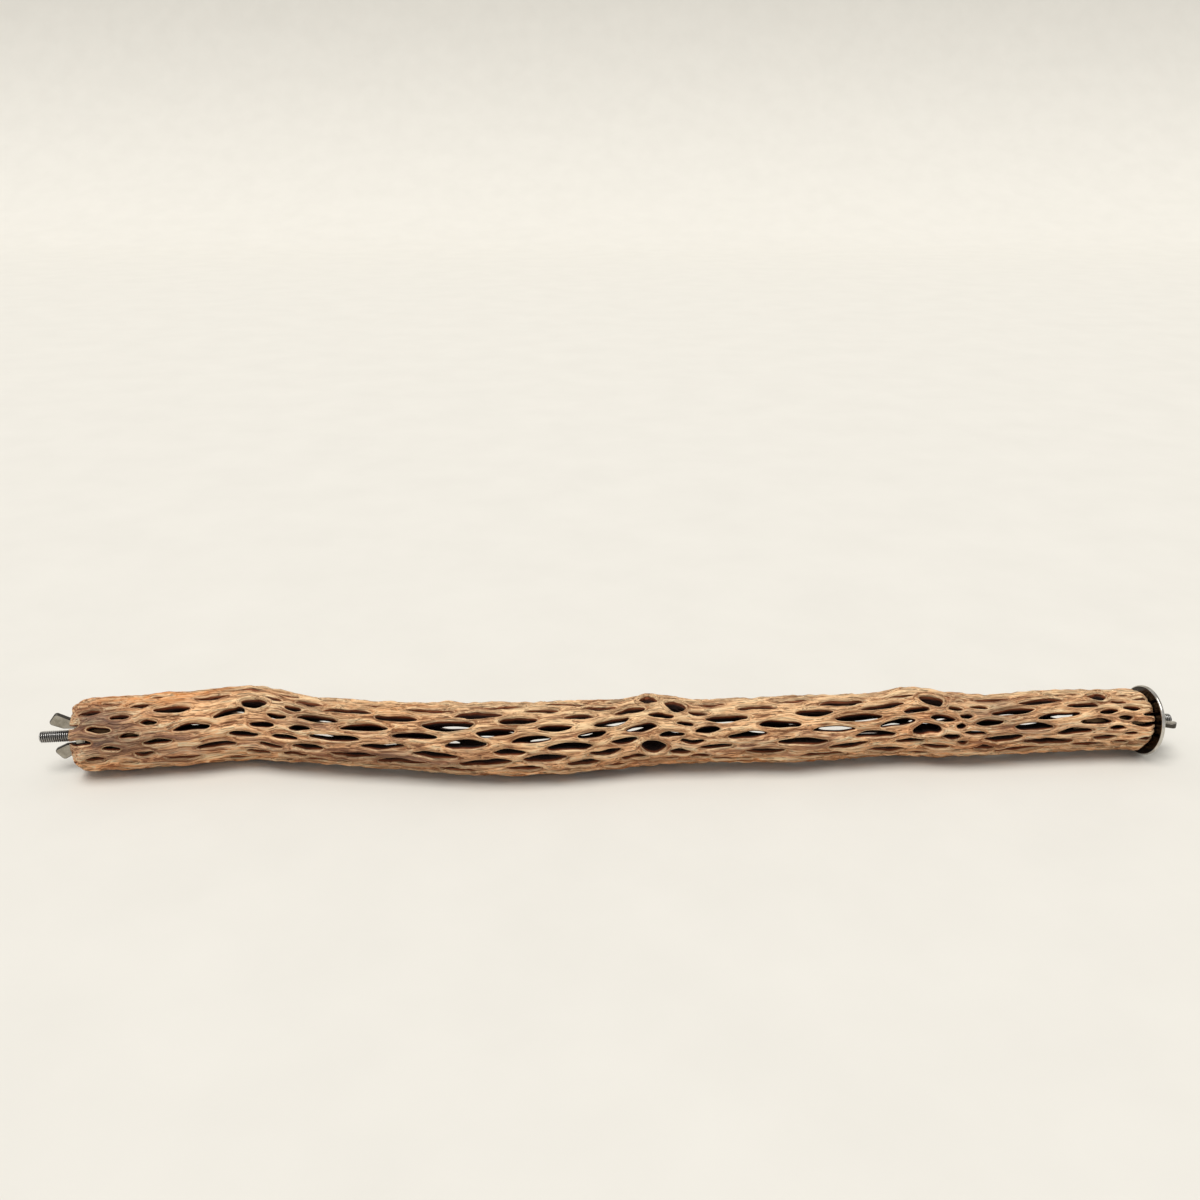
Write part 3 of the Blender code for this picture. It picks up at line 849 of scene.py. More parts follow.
    def _loose_points(self) -> list[tuple[np.ndarray, float]]:
        """Place the points that belong to no hole: rows along the ends, and the grid.

        Returns:
            Sets of points, each with how clear of the holes it has to be.
        """
        draw = np.random.default_rng(self.seed)
        found = []
        around = np.arange(round(self.circumference / self.end_spacing))
        around = around * self.circumference / len(around)
        for limit, sign in ((self.branch.left, 1), (self.branch.right, -1)):
            rim = np.stack((np.full(len(around), limit), around), axis=-1)
            found.append((rim[~self._open_at(limit, around)], -1.0))
            for step, row in enumerate(self.end_rows):
                shift = (step % 2 + 1) / 2 * self.end_spacing
                line = np.stack((np.full(len(around), limit + sign * row), around + shift), axis=-1)
                line[:, 1] += draw.uniform(-self.end_jitter, self.end_jitter, len(line))
                found.append((line, self.end_clearance))
        across = round(self.circumference / self.fill_spacing)
        start = self.branch.left + self.end_rows[-1] + self.fill_margin
        end = self.branch.right - self.end_rows[-1] - self.fill_margin
        row_spacing = self.fill_spacing * self.fill_rows
        row, column = np.meshgrid(np.arange(int((end - start) / row_spacing)), np.arange(across),
                                  indexing="ij")
        fill = np.stack((
            start + row * self.fill_spacing * self.fill_rows,
            (column + row % 2 / 2) * self.circumference / across,
        ), axis=-1).reshape(-1, 2)
        fill += draw.uniform(-self.fill_jitter, self.fill_jitter, fill.shape)
        found.append((fill, self.fill_clearance))
        return found

    def _open_at(self, limit: float, around: np.ndarray) -> np.ndarray:
        """Find where holes cut an end of the sheet open.

        Args:
            limit: the end's place.
            around: distances round the sheet.

        Returns:
            For each distance whether the end is open there.
        """
        opened = np.zeros(len(around), dtype=bool)
        for hole in self.holes:
            piece = self.edge[hole]
            on_line = np.abs(piece[:, 0] - limit) < SAME
            if on_line.any():
                low, high = piece[on_line, 1].min(), piece[on_line, 1].max()
                aside = self._wrap(around - (low + high) / 2)
                opened |= np.abs(aside) < (high - low) / 2 + self.end_clearance
        return opened

    def _triangulate(self, points: np.ndarray) -> np.ndarray:
        """Join points of the closed sheet by triangles, leaving the holes out.

        The sheet is laid out with a margin repeated on both sides, and a triangle is kept where
        its middle lies on the sheet itself.

        Args:
            points: places on the sheet, the holes' edges first.

        Returns:
            Three indices to a triangle, counter-clockwise.
        """
        shifts = np.array([-1, 0, 1]) * self.circumference
        low, high = -self.margin, self.circumference + self.margin
        laid, source, faces = [], [], []
        count = 0
        for shift in shifts:
            for hole in self.holes:
                if low < points[hole, 1].mean() + shift < high:
                    laid.append(points[hole] + (0, shift))
                    source.append(hole)
                    faces.append(list(range(count, count + len(hole))))
                    count += len(hole)
        loose = np.arange(len(self.edge), len(points))
        for shift in shifts:
            aside = points[loose, 1] + shift
            near = loose[(aside > low) & (aside < high)]
            laid.append(points[near] + (0, shift))
            source.append(near)
        laid, source = np.concatenate(laid), np.concatenate(source)
        flat = [Vector(point) for point in laid.tolist()]
        _, _, triangles, origins, _, inside = delaunay_2d_cdt(flat, [], faces, 0, SAME)
        kept = np.array([triangle for triangle, hole in zip(triangles, inside) if not hole])
        kept = np.array([places[0] for places in origins])[kept]
        middle = laid[kept, 1].mean(axis=1)
        return source[kept[(middle >= 0) & (middle < self.circumference)]]

    def _beside_holes(self, points: np.ndarray) -> Iterator[tuple[np.ndarray, ...]]:
        """Measure points against the holes near them, a block of points at a time.

        Args:
            points: places on the sheet.

        Yields:
            The block's indices, the near holes' lengths and widths, and how far each point of
            the block lies along and across each of those holes, from its middle.
        """
        place, angle, length, width, slant = self.plan.T
        around = np.radians(angle) * self.branch.sheet_radius
        place = place - self.branch.saw_shift(place, angle)
        lean = np.radians(slant)
        order = np.argsort(points[:, 0])
        for block in np.array_split(order, len(points) // self.block + 1):
            low = points[block, 0].min() - self.spiral.longest
            high = points[block, 0].max() + self.spiral.longest
            near = np.flatnonzero((place > low) & (place < high))
            along = points[block, 0][:, None] - place[near]
            aside = self._wrap(points[block, 1][:, None] - around[near])
            x = along * np.cos(lean[near]) + aside * np.sin(lean[near])
            y = aside * np.cos(lean[near]) - along * np.sin(lean[near])
            yield block, length[near], width[near], x, y

    def _grain(self, points: np.ndarray) -> np.ndarray:
        """Where a fibre would lie round the sheet if no hole pushed it aside.

        Each hole moves the fibres beside it by half its own width there, and less by a falling
        exponential of their distance from its edge.

        Args:
            points: places on the sheet.

        Returns:
            The unpushed distance round the sheet.
        """
        found = points[:, 1].copy()
        for block, length, width, x, y in self._beside_holes(points):
            reach = length / 2 + self.grain_past
            half = width / 2 * np.clip(1 - (x / reach) ** 2, 0, 1) ** self.grain_power
            push = half * np.exp(-np.maximum(np.abs(y) - half, 0) / self.grain_reach)
            found[block] -= (np.tanh(y / self.grain_parting) * push).sum(axis=1)
        return found

    def _grooves(self, points: np.ndarray) -> np.ndarray:
        """How deep the surface dips where a hole's point runs out into a groove.

        Past each point of a hole the dip falls off evenly, and across it as a bell curve.

        Args:
            points: places on the sheet.

        Returns:
            A share of the groove's full depth for each point.
        """
        found = np.zeros(len(points))
        for block, length, width, x, y in self._beside_holes(points):
            run = self.groove_run * length + self.groove_more
            past = (np.abs(x) - self.groove_start * length) / run
            fade = np.where((past > -self.groove_lead) & (past < 1), 1 - np.abs(past), 0)
            across = y / (self.groove_width * width)
            found[block] = (fade * np.exp(-across**2)).max(axis=1)
        return found

    @staticmethod
    def _rolled(place: np.ndarray, turn: np.ndarray, radius: np.ndarray | float) -> np.ndarray:
        """Roll places up into a straight tube: along it, and round it at a radius."""
        return np.stack((place, radius * np.cos(turn), radius * np.sin(turn)), axis=-1)

    def _carve(self) -> Relief:
        """Carve the sheet's outside.

        The depth at a point adds up: a quarter circle at the strands' edges, the worn ends, the
        strands' crowns, the swelling, the grooves, the ridges along the grain, the knots'
        collars and the left end's lobes. It always leaves the least wall.

        Returns:
            The relief at every point of the sheet.
        """
        place, turn = self.sheet[:, 0], self.sheet[:, 1] / self.branch.sheet_radius
        rest = self._rolled(place, turn, self.branch.sheet_radius)
        rounding = np.maximum(self.rounding, self.least_rounding)
        share = np.clip(1 - self.distance / rounding, 0, 1)
        sunk = rounding * (1 - np.sqrt(1 - share**2))
        depth = sunk + self.branch.worn(place)
        depth += self.crown * np.clip(1 - self.distance / self.crown_reach, 0, 1) ** 2
        depth += self.relief * self.relief_ripples.share(rest)
        dip = self._grooves(self.sheet)
        depth += self.groove * dip * (self.distance > 0)
        grain = self._grain(self.sheet)
        flow = self._rolled(place, grain / self.branch.sheet_radius, self.branch.sheet_radius)
        depth += self.ridges * self.ridge_ripples.share(flow)
        from_knot = self._nearest(self.sheet, among=self.knot_edge)
        swell = np.exp(-((from_knot - self.knot_crest) / self.knot_width) ** 2)
        collar = depth * (1 - self.knot_calm * swell) - self.knot_swell * swell
        depth = np.where(from_knot < self.knot_end, collar, depth)
        near_end = 1 - smooth_step(0.0, self.frayed_reach, place - self.branch.left)
        depth += self.frayed * near_end * self.frayed_ripples.share(rest)
        depth = np.minimum(depth, self.branch.wall - self.least_wall)
        knot = 1 - np.minimum(from_knot / self.knot_reach, 1)
        return Relief(depth, sunk, dip, knot, grain)

    def _border(self, triangles: np.ndarray) -> Border:
        """Find the sides that only one triangle has.

        Args:
            triangles: the sheet's triangles.

        Returns:
            Those sides, each from its start to its end.
        """
        total = len(self.sheet)
        start = triangles.reshape(-1)
        end = np.roll(triangles, -1, axis=1).reshape(-1)
        alone = ~np.isin(start * total + end, end * total + start)
        return Border(start[alone], end[alone], np.unique(start[alone]))

    def _walls(self, border: Border, relief: Relief) -> list[tuple[np.ndarray, np.ndarray]]:
        """Set out the rings of every wall, from the outside to the core.

        Args:
            border: the sheet's open sides.
            relief: the carving of its outside.

        Returns:
            For each ring its points on the sheet and their depths.
        """
        side = self.sheet[border.ends] - self.sheet[border.starts]
        side[:, 1] = self._wrap(side[:, 1])
        side /= np.linalg.norm(side, axis=1, keepdims=True)
        normal = np.stack((side[:, 1], -side[:, 0]), axis=-1)
        away = np.zeros_like(self.sheet)
        np.add.at(away, border.starts, normal)
        np.add.at(away, border.ends, normal)
        away = away[border.points]
        away /= np.maximum(np.linalg.norm(away, axis=1, keepdims=True), SAME)
        sheet, depth = self.sheet[border.points], relief.depth[border.points]
        on_end = [np.abs(sheet[:, 0] - limit) < SAME for limit in (self.branch.left, self.branch.right)]
        away[on_end[0] | on_end[1]] = 0
        radius = self.branch.sheet_radius
        uneven = self.wall_ripples.at(self._rolled(sheet[:, 0], sheet[:, 1] / radius, radius))
        rings = []
        for share, narrow in zip(self.wall_shares, self.wall_narrowing):
            shift = narrow + self.wall_unevenness * uneven * math.sin(math.pi * share)
            rings.append((sheet + away * shift[:, None], depth + (self.branch.wall - depth) * share))
        return rings

    def mesh(self) -> bpy.types.Mesh:
        """Carve the net.

        The sheet of strands is rolled round the branch. From every hole's edge and both ends a
        wall of rings goes inwards, and a coarser sheet of the same strands closes the core's
        side. Points are numbered with the sheet's first, and then each ring's.

        Returns:
            One closed mesh, with the grain's place, the tone, which is partly painted light, and
            the depth of every point.
        """
        outer = self._triangulate(self.sheet)
        border = self._border(outer)
        relief = self._carve()
        rings = self._walls(border, relief)
        total, edge = len(self.sheet), len(border.points)
        rank = np.full(total, -1)
        rank[border.points] = np.arange(edge)
        one, other = border.starts, border.ends
        quads = []
        for ring in range(len(rings)):
            below_one = total + ring * edge + rank[border.starts]
            below_other = total + ring * edge + rank[border.ends]
            quads.append(np.stack((one, other, below_other, below_one), axis=-1))
            one, other = below_one, below_other
        core = rank[self._core(border)] + total + (len(rings) - 1) * edge
        triangles = np.concatenate((outer[:, ::-1], core))
        quads = np.concatenate(quads)
        used, corners = np.unique(np.concatenate((triangles, quads), axis=None), return_inverse=True)
        source = np.concatenate([np.arange(total)] + [border.points] * len(rings))[used]
        place = np.concatenate([self.sheet] + [ring for ring, _ in rings])[used]
        depth = np.concatenate([relief.depth] + [ring for _, ring in rings])[used]
        angle = np.degrees(place[:, 1] / self.branch.sheet_radius)
        made = closed_mesh("cholla_net", self.branch.lay(place[:, 0], angle, depth), corners,
                           len(triangles), len(quads))
        turn = relief.grain[source] / self.branch.sheet_radius
        store(made, "grain", self._rolled(place[:, 0], turn, self.branch.sheet_radius - depth))
        # Grey, orange and pale ovals; the pale ones are partly painted light from above, and the long
        # orange band along the underside is painted light from the floor
        store(made, "tone", np.stack([
            patches_at(patches, place[:, 0], angle) for patches in (self.grey, self.orange, self.pale)
        ], axis=-1))
        # The distance to a hole, the depth's share of the wall and the groove, from which the finish paints
        # the rim's highlight and the shade in and round the holes
        sunk = relief.sunk[source] + depth - relief.depth[source]
        apart = np.where(used < total, self.distance[source], 0.0)
        store(made, "carving", np.stack((apart, sunk / self.branch.wall, relief.dip[source]), axis=-1))
        store(made, "knot", relief.knot[source])
        log.info("cholla_net: %d points, %d triangles", len(used), len(triangles) + 2 * len(quads))
        return made

    def _core(self, border: Border) -> np.ndarray:
        """Join the border's points alone by triangles, for the core's side of the strands.

        Args:
            border: the sheet's open sides.

        Returns:
            Three of the sheet's points to a triangle, which runs the core's way round.
        """
        rim = border.points[border.points >= len(self.edge)]
        back = np.concatenate((np.arange(len(self.edge)), rim))
        return back[self._triangulate(self.sheet[back])]


# The end fittings


@dataclass(frozen=True)
class StudSizes:
    """A threaded stud: its reach past the sawn end, and what it holds inside the plug."""

    reach: float
    radius: float = 2.4
    depth: float = 20.0
    pitch: float = 0.8
    thread_depth: float = 0.52
    threaded_depth: float = 6.0
    # The shares of a pitch that the flat crest and the slopes take
    crest: float = 0.14
    slopes: float = 0.72
    chamfer: float = 0.5
    inner_chamfer: float = 1.4
    rows_per_pitch: int = 10
    columns: int = 48
    sharp_degrees: float = 40.0


@dataclass(frozen=True)
class WasherSizes:
    """A flat washer, and where its inner face lies, out from the sawn end."""

    seat: float
    radius: float
    thickness: float
    edge_rounding: float
    bore: float = 2.8
    columns: int = 144
    sharp_degrees: float = 50.0


@dataclass(frozen=True)
class NutSizes:
    """A wing nut: its turned body, and the outline of a wing."""

    roll: float
    # Out from the base, away from the axis, and corner rounding
    wing: tuple[Triple, ...]
    bore: float = 2.55
    base_radius: float = 4.8
    top_radius: float = 4.3
    height: float = 4.0
    edge_rounding: float = 0.4
    wing_thickness: float = 1.9
    wing_edge: float = 0.42
    corner_steps: int = 6
    edge_steps: int = 5
    columns: int = 72
    sharp_degrees: float = 45.0


# The left nut sits in the hollow end, and its wings are the taller ones
TALL_WING = (
    (0.6, 3.3, 0.0), (0.9, 5.0, 0.8), (10.9, 10.6, 1.4),
    (14.4, 6.1, 1.3), (9.0, 3.6, 1.0), (3.5, 3.3, 0.0),
)
SHORT_WING = (
    (0.6, 3.3, 0.0), (1.2, 6.2, 1.0), (6.9, 10.3, 1.4),
    (10.5, 5.9, 1.3), (5.2, 3.6, 1.0), (3.5, 3.3, 0.0),
)


@dataclass
class EndFittings:
    """The plug, stud, washer and wing nut at one end of the branch."""

    end: End
    branch: Branch
    stud: StudSizes
    washer: WasherSizes
    nut: NutSizes
    # Between the washer and the nut
    gap: float = 0.3
    # A ring's bore is chamfered by this, and its outer edges are rounded in this many steps
    bore_chamfer: float = 0.2
    rounding_steps: int = 7

    def __post_init__(self) -> None:
        """Find the end's axis, and name its pieces."""
        self.middle, self.outward, self.across = self.branch.end_frame(self.end)
        self.side = self.end.name.lower()

    def _place(self, local: np.ndarray) -> np.ndarray:
        """Turn points about the end's axis, given as up, across and out, into the frame's."""
        upward = np.cross(self.across, self.outward)
        return (self.middle + local[..., :1] * upward + local[..., 1:2] * self.across
                + local[..., 2:] * self.outward)

    def _turned(self, radius: np.ndarray, out: np.ndarray, columns: int) -> np.ndarray:
        """Turn a profile round the end's axis.

        Args:
            radius: distances from the axis, one for each row, or one for each point.
            out: distances out along it, one for each row.
            columns: points in a ring.

        Returns:
            Rings of points in the frame.
        """
        turn = np.arange(columns) * 2 * math.pi / columns
        radius = np.broadcast_to(radius.reshape(len(out), -1), (len(out), columns))
        out = np.broadcast_to(out[:, None], radius.shape)
        return self._place(np.stack((radius * np.cos(turn), radius * np.sin(turn), out), axis=-1))

    def dress_plug(self, finish: bpy.types.Material) -> None:
        """Give the plug, whose solid stays, its finish."""
        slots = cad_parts[f"{self.side}_plug"].data.materials
        slots.clear()
        slots.append(finish)

    def make_stud(self, finish: bpy.types.Material) -> None:
        """Cut the stud's thread.

        The radius falls from the crest by the thread's depth, as a triangle wave with flattened
        crests and roots. The wave runs along the stud once for each pitch, and one pitch on for
        each turn, which makes it a right-hand thread.

        Args:
            finish: the stud's material, darkened with painted shade at the thread's roots.
        """
        sizes = self.stud
        step = sizes.pitch / sizes.rows_per_pitch
        out = np.arange(-sizes.threaded_depth, sizes.reach, step)
        out = np.concatenate(([-sizes.depth, -sizes.threaded_depth - step], out, [sizes.reach]))
        turn = np.arange(sizes.columns) / sizes.columns
        wave = (out[:, None] / sizes.pitch - turn) % 1.0
        fall = np.clip((1 - np.abs(2 * wave - 1) - sizes.crest) / sizes.slopes, 0, 1)
        fall[out < -sizes.threaded_depth] = 0
        radius = sizes.radius - sizes.thread_depth * fall
        tip = sizes.radius - sizes.chamfer + np.clip(sizes.reach - out, 0, None)
        radius = np.minimum(radius, tip[:, None])
        radius[0] = sizes.radius - sizes.inner_chamfer
        shell = Shell()
        shell.add_tube(self._turned(radius, out, sizes.columns))
        made = shell.mesh(f"{self.side}_threaded_stud", sizes.sharp_degrees)
        # Painted shade: the thread's roots are darkened by how far the radius falls there
        store(made, "painted_shade", fall.reshape(-1))
        show(made, finish, "stick", f"{self.side}_stud")

    def make_washer(self, finish: bpy.types.Material) -> None:
        """Turn the washer from a flat ring's section with rounded edges.

        Args:
            finish: the washer's material, with painted shade and reflection on its face towards the wood.
        """
        sizes = self.washer
        radius, out = self._ring_section(sizes.bore, sizes.radius, sizes.seat,
                                         sizes.seat + sizes.thickness, sizes.edge_rounding)
        shell = Shell()
        shell.add_tube(self._turned(radius, out, sizes.columns), looped=True)
        made = shell.mesh(f"{self.side}_plated_washer", sizes.sharp_degrees)
        # Painted shade, with a painted dark reflection of the wood, on the face towards the wood
        to_wood = np.abs(out - sizes.seat) < SAME
        store(made, "painted_shade", np.repeat(to_wood, sizes.columns))
        show(made, finish, f"{self.side}_washer", f"{self.side}_washer")

    def _ring_section(self, bore: float, radius: float, low: float, high: float,
                      rounding: float, taper: float = 0.0) -> tuple[np.ndarray, np.ndarray]:
        """Work out the closed section of a ring, whose outer edges are quarter circles.

        Args:
            bore: the bore's radius.
            radius: the outer radius at the lower face.
            low: where the lower face lies, out along the axis.
            high: where the upper face lies.
            rounding: the outer edges' radius.
            taper: how much smaller the outer radius is at the upper face.

        Returns:
            Distances from the axis, and distances out along it.
        """
        quarter = np.linspace(0, math.pi / 2, self.rounding_steps)
        lower_radius = radius - rounding + rounding * np.sin(quarter)
        lower_out = low + rounding - rounding * np.cos(quarter)
        upper_radius = radius - taper - rounding + rounding * np.cos(quarter)
        upper_out = high - rounding + rounding * np.sin(quarter)
        soft = self.bore_chamfer
        radii = np.concatenate(([bore, bore + soft], lower_radius, upper_radius, [bore + soft, bore]))
        outs = np.concatenate(([low + soft, low], lower_out, upper_out, [high, high - soft]))
        return radii, outs

    def make_nut(self, finish: bpy.types.Material) -> None:
        """Turn the wing nut's body, and set its two wings into it.

        Args:
            finish: the nut's material, with painted shade round the wings' edges.
        """
        sizes = self.nut
        seat = self.washer.seat + self.washer.thickness + self.gap
        radius, out = self._ring_section(sizes.bore, sizes.base_radius, seat, seat + sizes.height,
                                         sizes.edge_rounding, sizes.base_radius - sizes.top_radius)
        shell = Shell()
        shell.add_tube(self._turned(radius, out, sizes.columns), looped=True)
        painted_shade = [np.zeros(shell.count)]
        for side in (-1, 1):
            wing = self._wing(side, seat)
            shell.add_tube(wing)
            # Painted shade on a wing's edge, all round it between its broad faces
            round_edge = np.ones(wing.shape[:2])
            round_edge[[0, -1]] = 0
            painted_shade.append(round_edge.reshape(-1))
        made = shell.mesh(f"{self.side}_plated_wing_nut", sizes.sharp_degrees)
        store(made, "painted_shade", np.concatenate(painted_shade))
        show(made, finish, f"{self.side}_nut", f"{self.side}_wing_nut")

    def _wing(self, side: int, seat: float) -> np.ndarray:
        """Shape one wing, as rings of its outline through its thickness.

        At the two broad faces the outline draws in by a quarter circle's worth, which rounds
        every edge.

        Args:
            side: which of the two wings it is, 1 or -1.
            seat: where the nut's base lies, out along the axis.

        Returns:
            Rings of points in the frame.
        """
        sizes = self.nut
        outline, normal = rounded_outline(sizes.wing, sizes.corner_steps)
        quarter = np.linspace(0, math.pi / 2, sizes.edge_steps)
        half = sizes.wing_thickness / 2
        inset = sizes.wing_edge * (1 - np.sin(quarter))
        lift = half - sizes.wing_edge + sizes.wing_edge * np.cos(quarter)
        inset = np.concatenate((inset, inset[::-1]))
        lift = np.concatenate((-lift, lift[::-1]))
        shape = outline[None] - normal[None] * inset[:, None, None]
        turn = math.radians(sizes.roll)
        off = side * shape[..., 1]
        aside = np.broadcast_to(lift[:, None], off.shape)
        rings = self._place(np.stack((
            off * math.cos(turn) - aside * math.sin(turn),
            off * math.sin(turn) + aside * math.cos(turn),
            seat + shape[..., 0],
        ), axis=-1))
        return rings[:, ::-1] if side > 0 else rings


def rounded_outline(corners: tuple[Triple, ...], steps: int,
                    least_radius: float = 0.05) -> tuple[np.ndarray, np.ndarray]:
    """Replace each corner of an outline by an arc of its radius.

    The arc's middle lies on the line that halves the corner, where a circle of that radius
    touches both sides.

    Args:
        corners: the corners' two coordinates and radius.
        steps: points on an arc, less one.
        least_radius: the radius of a corner that gives less.

    Returns:
        The outline's points, and the way outwards at each.
    """
    table = np.array(corners, dtype=float)
    corner, radius = table[:, :2], np.maximum(table[:, 2:], least_radius)
    before, after = np.roll(corner, 1, axis=0) - corner, np.roll(corner, -1, axis=0) - corner
    before /= np.linalg.norm(before, axis=1, keepdims=True)
    after /= np.linalg.norm(after, axis=1, keepdims=True)
    half = np.arccos(np.clip((before * after).sum(axis=1, keepdims=True), -1, 1)) / 2
    halving = (before + after) / np.linalg.norm(before + after, axis=1, keepdims=True)
    middle = corner + halving * radius / np.sin(half)
    start = corner + before * radius / np.tan(half) - middle
    end = corner + after * radius / np.tan(half) - middle
    share = np.linspace(0, 1, steps + 1)[:, None]
    arc = start[:, None] * (1 - share) + end[:, None] * share
    arc /= np.linalg.norm(arc, axis=2, keepdims=True)
    return (middle[:, None] + arc * radius[:, None]).reshape(-1, 2), arc.reshape(-1, 2)


# Finishes


BLACK = (0.0, 0.0, 0.0, 1.0)
GREY = (0.45, 0.45, 0.45, 1.0)
WHITE = (1.0, 1.0, 1.0, 1.0)


def linear(red: int, green: int, blue: int) -> tuple[float, float, float, float]:
    """A screen colour, 0 to 255, as the light that it stands for."""
    return tuple((value / 255 / 12.92 if value <= 10 else ((value / 255 + 0.055) / 1.055) ** 2.4)
                 for value in (red, green, blue)) + (1.0,)


class Nodes:
    """A short way to write down a tree of shader nodes."""

    def __init__(self, tree: bpy.types.NodeTree) -> None:
        """Keep the tree."""
        self.tree = tree

    def feed(self, node: bpy.types.Node, inputs: dict[str | int, object]) -> None:
        """Set a node's sockets.

        Args:
            node: the node.
            inputs: what goes into its sockets, by name or number: a value, or another's output.
        """
        for name, value in inputs.items():
            if isinstance(value, Socket):
                self.tree.links.new(value, node.inputs[name])
            else:
                node.inputs[name].default_value = value

    def add(self, kind: str, inputs: dict[str | int, object] | None = None,
            **settings: object) -> bpy.types.Node:
        """Add a node.

        Args:
            kind: the node's type, less its ShaderNode.
            inputs: what goes into its sockets, as feed() takes it.
            settings: the node's own properties.

        Returns:
            The node.
        """
        node = self.tree.nodes.new(kind if kind.startswith("NodeGroup") else "ShaderNode" + kind)
        for name, value in settings.items():
            setattr(node, name, value)
        self.feed(node, inputs or {})
        return node

    def attribute(self, name: str) -> bpy.types.Node:
        """Read a value that is stored for the mesh's points."""
        return self.add("Attribute", attribute_name=name)

    def three(self, name: str) -> list[Socket]:
        """Read three numbers that are stored together for the mesh's points."""
        return list(self.add("SeparateXYZ", {0: self.attribute(name).outputs["Vector"]}).outputs)

    def object_place(self) -> Socket:
        """The place on the object, in millimetres."""
        place = self.add("TexCoord").outputs["Object"]
        return self.add("Mapping", {"Vector": place, "Scale": (1 / MM, 1 / MM, 1 / MM)}).outputs[0]

    def times(self, one: Socket, other: Socket | float) -> Socket:
        """Multiply two numbers."""
        return self.add("Math", {0: one, 1: other}, operation="MULTIPLY").outputs[0]

    def plus(self, one: Socket, other: Socket) -> Socket:
        """Add two numbers."""
        return self.add("Math", {0: one, 1: other}, operation="ADD").outputs[0]

    def total(self, *parts: tuple[Socket, float]) -> Socket:
        """Add up numbers, each times its share."""
        return reduce(self.plus, [self.times(value, share) for value, share in parts])

    def tint(self, colour: Socket, share: Socket, tone: Tone) -> Socket:
        """Mix a share of a screen colour into a colour."""
        return self.add("Mix", {0: share, 6: colour, 7: linear(*tone)}, data_type="RGBA").outputs[2]

    def span(self, value: Socket, low: float, high: float, to_low: float = 0.0,
             to_high: float = 1.0) -> Socket:
        """Spread a range of a number over another range, and stop at its ends."""
        return self.add("MapRange", {
            "Value": value, "From Min": low, "From Max": high, "To Min": to_low, "To Max": to_high,
        }).outputs[0]

    def noise(self, place: Socket, size: Triple, detail: float = 3.0,
              roughness: float = 0.55) -> Socket:
        """Find smooth random values, about 0.5, in blots of a size.

        Args:
            place: where to read them.
            size: a blot's size in each direction, in the place's units.
            detail: how many finer layers there are.
            roughness: how strongly the finer layers show.

        Returns:
            The values.
        """
        scale = tuple(1 / length for length in size)
        place = self.add("Mapping", {"Vector": place, "Scale": scale}).outputs[0]
        return self.add("TexNoise", {
            "Vector": place, "Scale": 1.0, "Detail": detail, "Roughness": roughness,
        }).outputs[0]

    def ramp(self, value: Socket, *stops: tuple[float, tuple]) -> Socket:
        """Turn a number into a colour.

        Args:
            value: the number.
            stops: numbers, from low to high, and the colour at each.

        Returns:
            The colour, mixed from the stops on both sides of the number.
        """
        node = self.add("ValToRGB", {"Fac": value})
        marks = node.color_ramp.elements
        while len(marks) < len(stops):
            marks.new(1.0)
        for mark, (at, colour) in zip(marks, stops):
            mark.position = at
            mark.color = colour
        return node.outputs[0]


def new_group(name: str, outputs: tuple[str, ...]) -> tuple[Nodes, Socket, bpy.types.Node]:
    """Start a shader node group whose input is a place, and which puts out numbers.

    Args:
        name: the group's name.
        outputs: the names of the numbers.

    Returns:
        A Nodes for its tree, the place, and the node that its numbers go into.
    """
    tree = bpy.data.node_groups.new(name, "ShaderNodeTree")
    tree.interface.new_socket("Place", in_out="INPUT", socket_type="NodeSocketVector")
    for socket in outputs:
        tree.interface.new_socket(socket, in_out="OUTPUT", socket_type="NodeSocketFloat")
    nodes = Nodes(tree)
    return nodes, nodes.add("NodeGroupInput").outputs["Place"], nodes.add("NodeGroupOutput")


def fibre_group() -> bpy.types.NodeTree:
    """Wood fibres: bands, streaks, fine lines and cracks, drawn out along the first coordinate.

    The place is in millimetres along and across the fibres.

    Returns:
        The node group.
    """
    nodes, place, last = new_group("wood fibres", ("Band", "Streak", "Line", "Crack", "Height"))
    band = nodes.noise(place, (22.0, 2.4, 2.4), roughness=0.5)
    streak = nodes.noise(place, (12.0, 0.9, 0.9), roughness=0.6)
    line = nodes.noise(place, (6.0, 0.4, 0.4), detail=2.0)
    fault = nodes.noise(place, (10.0, 0.6, 0.6), detail=2.0, roughness=0.5)
    crack = nodes.span(fault, 0.42, 0.30)
    height = nodes.total((band, 1.0), (streak, 0.7), (line, 0.25), (crack, -0.35))
    nodes.feed(last, {"Band": band, "Streak": streak, "Line": line, "Crack": crack, "Height": height})
    return nodes.tree


def plating_group() -> bpy.types.NodeTree:
    """Zinc-plated steel: cloudy tone, fine speckle and faint scratches, on a place in millimetres.

    Returns:
        The node group.
    """
    nodes, place, last = new_group("steel plating", ("Cloud", "Speckle", "Scratch"))
    nodes.feed(last, {
        "Cloud": nodes.noise(place, (3.2, 3.2, 3.2)),
        "Speckle": nodes.noise(place, (0.22, 0.22, 0.22), detail=2.0),
        "Scratch": nodes.noise(place, (0.12, 2.5, 0.12), detail=1.0),
    })
    return nodes.tree


def new_material(name: str) -> tuple[bpy.types.Material, Nodes, bpy.types.Node]:
    """Start a material.

    Args:
        name: the material's name.

    Returns:
        The material, a Nodes for its tree, and its Principled BSDF.
    """
    made = bpy.data.materials.new(name)
    made.use_nodes = True
    return made, Nodes(made.node_tree), made.node_tree.nodes["Principled BSDF"]


